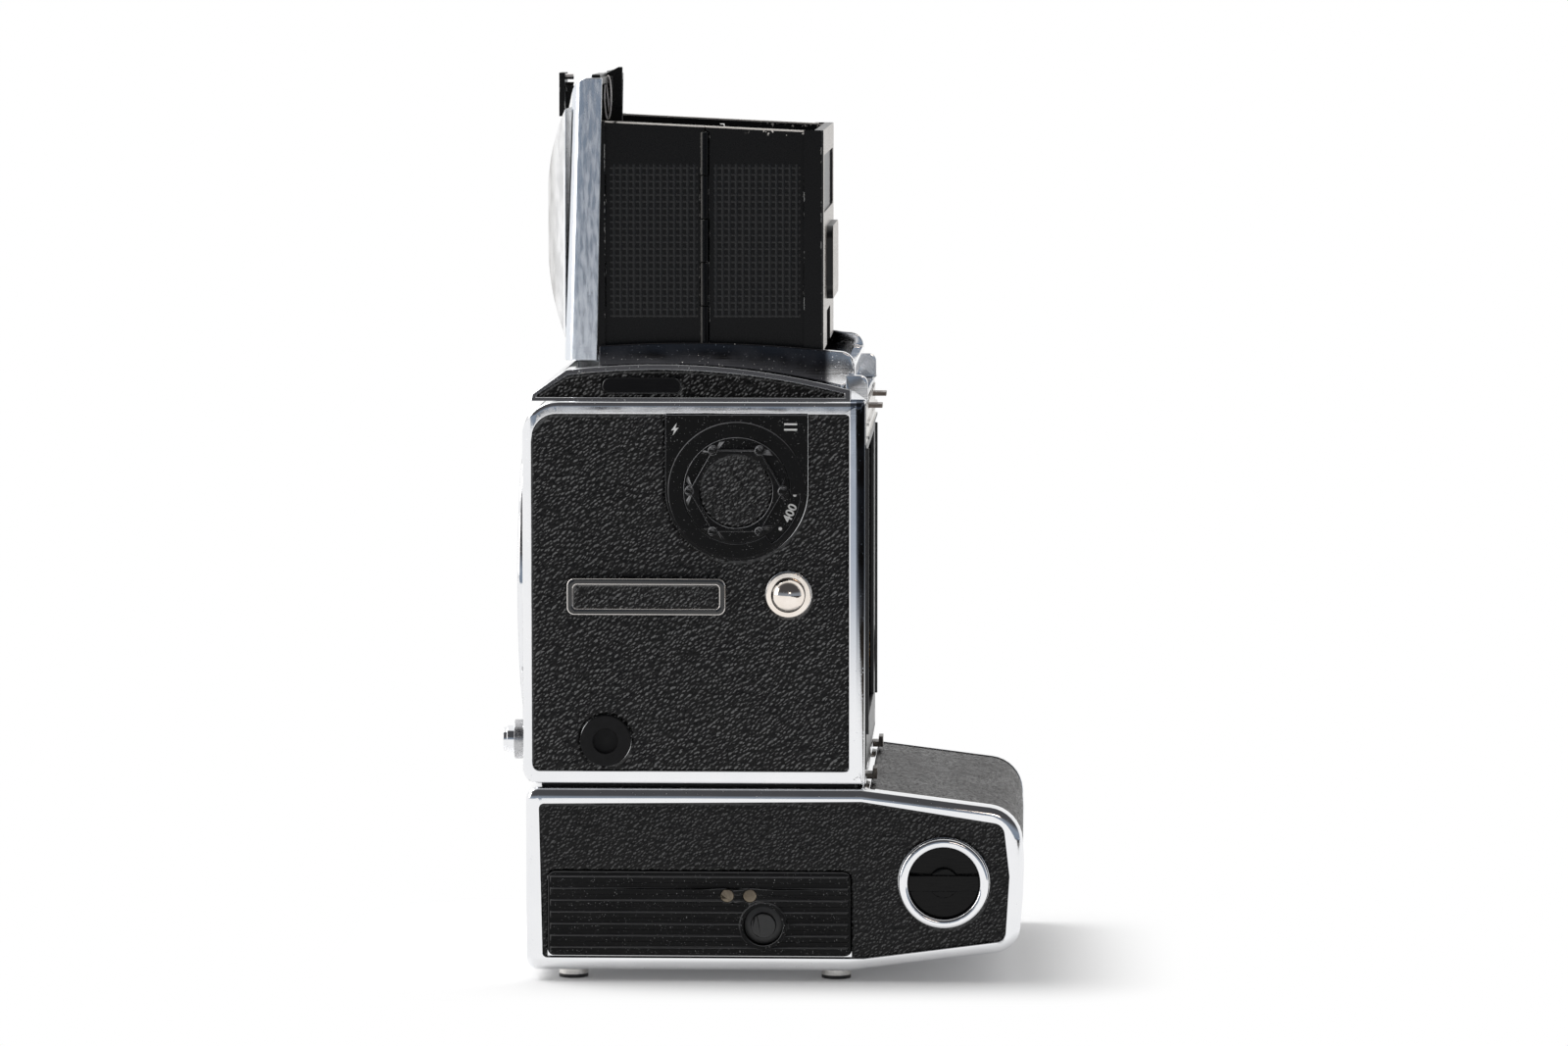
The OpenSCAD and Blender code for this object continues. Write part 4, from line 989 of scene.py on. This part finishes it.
def build_leathers():
    """All leather coverings. Sheets on the left side are finer, since they are seen most."""
    fine, coarse = 0.3, 0.4
    flat_piece("body_leather_sheets", "body_side_leathers",
               (*LEFT, LONG_GRAIN, fine), (*RIGHT, LONG_GRAIN, coarse))
    flat_piece("front_leather_sheet", "front_leather", (*FRONT, LONG_GRAIN, coarse))
    flat_piece("shoulder_leather_sheets", "shoulder_leathers",
               *((*shoulder_axes(side), LONG_GRAIN, fine) for side in (-1, 1)))
    flat_piece("base_leather_sheets", "base_side_leathers",
               (*LEFT, ROUND_GRAIN, fine), (*RIGHT, ROUND_GRAIN, coarse))
    leather_piece("base_wrap_sheet", "base_wrap_leather", [wrap_sheet(fine)])
    flat_piece("dial_leather_disc", "dial_leather", (*LEFT, DIAL_GRAIN, 0.15))


# ---- Small details ----


def detail_piece(name, mesh, node, finish):
    """Adds a piece that has no CAD node of its own and moves with another node's body."""
    paint(mesh, finishes[finish])
    add_piece(name, mesh, node)


# Pressed waffle pattern of the hood's walls: its extent, the first upright rib of each leaf, and the pitch
WAFFLE_Z = (134.0, 165.4)
WAFFLE_X = {"front": (-19.0, -0.9), "rear": (2.0, 19.9)}
WAFFLE_START = {"front": -1.7, "rear": 2.65}
WAFFLE_PITCH = 1.36
WAFFLE_RIBS = (0.42, 0.36)  # width of the upright ribs and of the level ones
WAFFLE_LIFT = 0.15


def rib(position, start, width):
    """1 on top of ribs that repeat from start, 0 between them."""
    off = np.abs((position - start + WAFFLE_PITCH / 2) % WAFFLE_PITCH - WAFFLE_PITCH / 2)
    return np.clip((width / 2 + 0.14 - off) / 0.2, 0, 1)


def waffle_relief(side, place):
    """Pressed waffle pattern on the outer face of a wall leaf, stronger in its upright ribs."""
    node = f"{side}_{place}_leaf"
    sign = -1 if side == "left" else 1
    face_y, under_y = sign * (LEAF_FACE_Y - 0.03), sign * (LEAF_FACE_Y - 0.4)
    step = 0.136
    x0, x1 = WAFFLE_X[place]
    gx, gz = np.meshgrid(np.arange(x0, x1, step), np.arange(*WAFFLE_Z, step), indexing="ij")
    upright = rib(gx, WAFFLE_START[place], WAFFLE_RIBS[0])
    level = 0.45 * rib(gz, WAFFLE_Z[0] + 0.4, WAFFLE_RIBS[1])
    rim = np.minimum(np.minimum(gx - x0, gx[-1, 0] - gx), np.minimum(gz - WAFFLE_Z[0], gz[0, -1] - gz))
    lift = WAFFLE_LIFT * np.maximum(upright, level) * np.clip(rim / 0.25, 0, 1)
    top = np.stack([gx, face_y + sign * lift, gz], axis=-1) * MM
    mesh = closed_sheet(node + "_waffle", top, underside(top, 1, under_y * MM))
    if side == "right":
        mesh.flip_normals()
    smooth(mesh, 60)
    detail_piece(node + "_waffle", mesh, node, "dots")


def text_mesh(name, text, height, thickness):
    """A number as a thin solid in the XY plane, centred on the origin, in millimetres."""
    curve = bpy.data.curves.new(name, "FONT")
    curve.body = text
    curve.align_x = "CENTER"
    curve.align_y = "CENTER"
    curve.size = height / 0.72
    curve.offset = 0.03 * height
    curve.extrude = thickness / 2
    curve.resolution_u = 4
    obj = add_object(name, curve)
    graph = bpy.context.evaluated_depsgraph_get()
    mesh = bpy.data.meshes.new_from_object(obj.evaluated_get(graph))
    bpy.data.objects.remove(obj)
    return mesh


def disc_into(bm, centre, radius, thickness, matrix):
    """Adds a thin round dot to bm."""
    bmesh.ops.create_cone(bm, cap_ends=True, segments=24, radius1=radius, radius2=radius,
                          depth=thickness, matrix=matrix @ Matrix.Translation(centre))


SPEEDS = ("100", "200", "400", "800", "1600")
SHOWN_SPEED = 2  # index of the speed in the plate's window
SHOWN_ANGLE = -23.0
SPEED_STEP = 55.2
SPEED_RADIUS = 11.75
INK_THICKNESS = 0.04


def dial_numbers():
    """Film speeds and dots round the scale disc; the plate's window shows one of them."""
    low, high = box_mm("iso_scale_disc")
    centre = (low + high) / 2
    stand = Matrix.Translation(Vector((centre.x, low.y, centre.z)) * MM) @ Matrix.Scale(MM, 4)
    stand = stand @ Matrix.Rotation(math.pi / 2, 4, "X")
    bm = bmesh.new()
    for i, speed in enumerate(SPEEDS):
        angle = SHOWN_ANGLE + (i - SHOWN_SPEED) * SPEED_STEP
        turn = Matrix.Rotation(math.radians(angle), 4, "Z") @ Matrix.Translation((SPEED_RADIUS, 0, 0))
        mesh = text_mesh(f"speed_{speed}", speed, 1.8 if len(speed) < 4 else 1.5, INK_THICKNESS)
        mesh.transform(stand @ turn @ Matrix.Rotation(math.pi / 2, 4, "Z"))
        bm.from_mesh(mesh)
        for third in (-1, 1):
            between = Matrix.Rotation(math.radians(angle + third * SPEED_STEP / 3), 4, "Z")
            disc_into(bm, (SPEED_RADIUS, 0, 0), 0.36, INK_THICKNESS, stand @ between)
    mesh = mesh_from(bm, "dial_numbers")
    detail_piece("dial_numbers", mesh, "iso_scale_disc", "white_ink")


PLATE_FACE_Y = -45.6
BAR_HALF_LENGTH = 1.3
BAR_HALF_HEIGHT = 0.18


def plate_marks():
    """A flash sign at the dial plate's upper left and two plain bars at its upper right."""
    low, high = box_mm("iso_plate")
    bolt = [(0.4, 1.3), (-0.75, -0.25), (-0.1, -0.15), (-0.45, -1.3), (0.75, 0.3), (0.1, 0.2)]
    left, right, mark_z = low.x + 1.9, high.x - 3.4, high.z - 2.9
    outlines = [[(left + x, mark_z + z) for x, z in bolt]]
    for bar_z in (mark_z - 0.05, mark_z + 1.05):
        corners = ((-1, -1), (1, -1), (1, 1), (-1, 1))
        outlines.append([(right + i * BAR_HALF_LENGTH, bar_z + k * BAR_HALF_HEIGHT) for i, k in corners])
    bm = bmesh.new()
    for outline in outlines:
        back = bm.faces.new([bm.verts.new(Vector((x, PLATE_FACE_Y + 0.02, z)) * MM) for x, z in outline])
        raised = bmesh.ops.extrude_face_region(bm, geom=[back])
        moved = [v for v in raised["geom"] if isinstance(v, bmesh.types.BMVert)]
        bmesh.ops.translate(bm, verts=moved, vec=(0, -0.05 * MM, 0))
    bmesh.ops.recalc_face_normals(bm, faces=bm.faces)
    mesh = mesh_from(bm, "plate_marks")
    detail_piece("plate_marks", mesh, "iso_plate", "white_ink")


def rail_inlay():
    """Leather strip laid in the accessory rail's recess."""
    low, high = box_mm("accessory_rail")
    recess_y = low.y + 0.4
    inset, corner, thick = 1.35, 0.8, 0.35
    x0, x1, z0, z1 = low.x + inset, high.x - inset, low.z + inset, high.z - inset
    step = 0.15
    gx, gz = np.meshgrid(np.arange(x0, x1, step), np.arange(z0, z1, step), indexing="ij")
    # Distance to the rounded outline, below 0 inside it
    qx = np.abs(gx - (x0 + x1) / 2) - (x1 - x0) / 2 + corner
    qz = np.abs(gz - (z0 + z1) / 2) - (z1 - z0) / 2 + corner
    rim = np.hypot(np.maximum(qx, 0), np.maximum(qz, 0)) + np.minimum(np.maximum(qx, qz), 0) - corner
    lift = thick - GRAIN_DEPTH * (1 - pebbles(gx, gz, *RAIL_GRAIN))
    lift *= np.clip(-rim / 0.35, 0, 1) ** 0.5
    top = np.stack([gx, recess_y - lift, gz], axis=-1) * MM
    mesh = closed_sheet("rail_leather_strip", top, underside(top, 1, (recess_y + 0.1) * MM))
    add_sheen(mesh, (0, -1, 0), (-0.45, 0, 0.9))
    smooth(mesh, 55)
    detail_piece("rail_leather_strip", mesh, "accessory_rail", "leather")


def wire_mesh(points, radius, closed, sides=8):
    """A round wire along points given in millimetres."""
    bm = bmesh.new()
    rings = []
    count = len(points)
    for k, p in enumerate(points):
        ahead = points[(k + 1) % count] if closed else points[min(k + 1, count - 1)]
        behind = points[k - 1] if closed or k else points[0]
        t = (Vector(ahead) - Vector(behind)).normalized()
        side = t.cross(Vector((0, 1, 0))).normalized()
        up = side.cross(t)
        turns = [2 * math.pi * j / sides for j in range(sides)]
        spokes = [radius * (math.cos(a) * side + math.sin(a) * up) for a in turns]
        rings.append([bm.verts.new((Vector(p) + spoke) * MM) for spoke in spokes])
    skin(bm, rings, closed)
    mesh = mesh_from(bm, "wire")
    mesh.shade_smooth()
    return mesh


SPRING_X, SPRING_Z = -20.45, 178.1


def magnifier_spring():
    """Bright wire loop beside the magnifier's hinge, with its arm crossing the loop."""
    side = box_mm("magnifier")[0].y
    centre = Vector((SPRING_X, side - 0.45, SPRING_Z))
    wide, tall, wire = 0.66, 4.4, 0.19
    loop = [centre + Vector((wide * math.cos(a), 0, tall * math.sin(a)))
            for a in [2 * math.pi * k / 48 for k in range(48)]]
    arm = [centre + Vector((0.3 * t, 0.02, -3.6 * t)) for t in (-0.8, -0.4, 0, 0.4, 0.8)]
    bm = bmesh.new()
    for mesh in (wire_mesh(loop, wire, True), wire_mesh(arm, wire * 0.8, False)):
        bm.from_mesh(mesh)
    mesh = mesh_from(bm, "magnifier_spring")
    mesh.shade_smooth()
    detail_piece("magnifier_spring", mesh, "lid_frame", "wire")


def box_into(bm, low, high):
    """Adds a box between two corners in millimetres."""
    centre = (Vector(low) + Vector(high)) / 2
    size = Vector(high) - Vector(low)
    place = Matrix.Translation(centre * MM) @ Matrix.Diagonal((*(size * MM), 1))
    bmesh.ops.create_cube(bm, size=1, matrix=place)


# Strips over the wall hinges: inner and outer face from the middle plane, and their places along the hood
STRIP_Y = (36.02, 36.08)
LID_STRIP_X = (-22.0, -19.85)
PANEL_STRIP_X = 20.4
PANEL_STRIP_END = 1.9


def hinge_strips(name, node, x0, x1, z0, z1):
    """Thin strips that cover the wall hinges on both sides and clear the hood base when the hood folds."""
    bm = bmesh.new()
    for sign in (-1, 1):
        ys = sorted(sign * y for y in STRIP_Y)
        box_into(bm, (x0, ys[0], z0), (x1, ys[1], z1))
    detail_piece(name, mesh_from(bm, name), node, "black_paint")


def build_details():
    """Everything small that is only in the visual model."""
    leaf_low, leaf_high = box_mm("left_front_leaf")
    panel_low, panel_high = box_mm("rear_panel")
    panel_end = panel_high.x - PANEL_STRIP_END
    hinge_strips("lid_hinge_flanges", "lid_frame", *LID_STRIP_X, leaf_low.z, leaf_high.z)
    hinge_strips("panel_hinge_flanges", "rear_panel", PANEL_STRIP_X, panel_end, panel_low.z, panel_high.z)
    rail_inlay()
    magnifier_spring()
    for side in ("left", "right"):
        for place in WAFFLE_X:
            waffle_relief(side, place)
    dial_numbers()
    plate_marks()


# ---- Floor, light and camera ----


# The table top, in metres. In front it ends at the right of the camera body, and the background takes over
TABLE_NEAR, TABLE_STEP, TABLE_FAR = -1.9, -0.25, 6.0
TABLE_HALF_WIDTH, TABLE_FRONT_RIGHT = 6.0, 0.30

# The table is paper under the base and turns into plain white light over a few centimetres around it
BASE_CENTRE_X = 10.0
BASE_HALF = (55.0, 42.0)
PAPER_FADE = (-6.0, 34.0)


def build_floor():
    """A plain white table top, narrower in front, that fades to white away from the base."""
    right, left = TABLE_HALF_WIDTH, -TABLE_HALF_WIDTH
    corners = [(left, TABLE_NEAR), (TABLE_FRONT_RIGHT, TABLE_NEAR), (TABLE_FRONT_RIGHT, TABLE_STEP),
               (right, TABLE_STEP), (right, TABLE_FAR), (left, TABLE_FAR)]
    mesh = bpy.data.meshes.new("floor")
    mesh.from_pydata([(x, y, 0) for x, y in corners], [], [(0, 1, 2, 3, 4, 5)])
    floor = add_object("floor", mesh)
    f = Finish("table_paper", 0.75)
    f.tone(f.spots(120.0), (0.88, 0.88, 0.88), (0.92, 0.92, 0.92))
    from_centre = f.math("ABSOLUTE", f.math("SUBTRACT", f.part("X"), BASE_CENTRE_X))
    along = f.math("MAXIMUM", f.math("SUBTRACT", from_centre, BASE_HALF[0]), 0.0)
    across = f.math("MAXIMUM", f.math("SUBTRACT", f.distance("Y"), BASE_HALF[1]), 0.0)
    squares = f.math("ADD", f.times(along, along), f.times(across, across))
    fade = f.span(f.math("SQRT", squares), *PAPER_FADE)
    glow = f.add("Emission", Color=(1, 1, 1, 1), Strength=1.0)
    f.feed(f.nodes["Material Output"].inputs[0], f.blend(fade, f.surface.outputs[0], glow.outputs[0]))
    mesh.materials.append(f.material)


# What the polished metal sees behind the viewer: colours from straight down, at 0, to straight up, at 1
ROOM_BANDS = ((0.0, (0.035, 0.028, 0.022)), (0.4735, (0.035, 0.028, 0.022)), (0.478, (0.20, 0.245, 0.31)),
              (0.56, (0.26, 0.30, 0.36)), (0.66, (0.07, 0.07, 0.075)), (1.0, (0.07, 0.07, 0.075)))
ROOM_FROM = (-0.10, -0.35)
WALL_COLOUR = (1.0, 1.0, 1.0)


def build_world():
    """White studio walls, and a darker room behind the viewer: dark floor, blue-grey wall, dark top."""
    world = bpy.data.worlds.new("studio")
    bpy.context.scene.world = world
    world.use_nodes = True
    world.node_tree.nodes.clear()
    g = Graph(world.node_tree)
    direction = g.add("TexCoord").outputs["Generated"]
    towards = g.add("SeparateXYZ", Vector=direction).outputs
    height = g.times(g.math("ADD", towards["Z"], 1.0), 0.5)
    room = g.add("ValToRGB", Fac=height)
    stops = room.color_ramp.elements
    stops[0].color = (*ROOM_BANDS[0][1], 1)
    stops[1].color = (*ROOM_BANDS[-1][1], 1)
    for place, band in ROOM_BANDS[1:-1]:
        stops.new(place).color = (*band, 1)
    colour = g.mix(g.span(towards["Y"], *ROOM_FROM), WALL_COLOUR, room.outputs["Color"])
    reflected = g.add("Background", Color=colour)
    seen = g.add("Background", Color=(1, 1, 1, 1))
    is_view = g.add("LightPath").outputs["Is Camera Ray"]
    both = g.blend(is_view, reflected.outputs[0], seen.outputs[0])
    g.add("OutputWorld", Surface=both)


def soft_box(name, place, size, power, colour=(1, 1, 1), target=(0, 0, 0.09)):
    """A rectangular studio light that faces the camera body."""
    data = bpy.data.lights.new(name, "AREA")
    data.shape = "RECTANGLE"
    data.size, data.size_y = size
    data.energy = power
    data.color = colour
    light = add_object(name, data)
    light.location = place
    light.rotation_euler = (Vector(place) - Vector(target)).to_track_quat("Z", "Y").to_euler()


def build_lights():
    soft_box("key", (-0.95, 0.35, 1.25), (0.9, 0.9), 16)
    soft_box("left_wall", (-1.3, -0.5, 0.5), (0.5, 0.8), 4, (1.0, 0.97, 0.94))
    soft_box("warm_low", (0.25, -1.5, 0.45), (0.25, 0.12), 0.5, (1.0, 0.86, 0.74))


VIEW_PLACE = Vector((0.0648, -1.395, 0.2038))
VIEW_AIM = Vector((0.0167, -0.045, 0.0932))
VIEW_LENS = 154.6


def build_camera():
    """Long lens from the camera body's left side, a little above it."""
    data = bpy.data.cameras.new("view")
    data.lens = VIEW_LENS
    data.sensor_width = 36.0
    data.clip_start = 0.05
    camera = add_object("view", data)
    camera.location = VIEW_PLACE
    camera.rotation_euler = (VIEW_PLACE - VIEW_AIM).to_track_quat("Z", "Y").to_euler()
    bpy.context.scene.camera = camera
    bpy.context.scene.view_settings.view_transform = "Standard"


for node_name in NODES:
    if node_name not in ("body_shell", "base_shell"):
        dress(node_name)
rounded_shell("body_shell_rounded", "body_shell", across=1.2, deep=0.7, rear_share=1.2)
rounded_shell("base_shell_rounded", "base_shell", across=2.3, deep=1.5)
build_leathers()
build_details()
build_floor()
build_world()
build_lights()
build_camera()
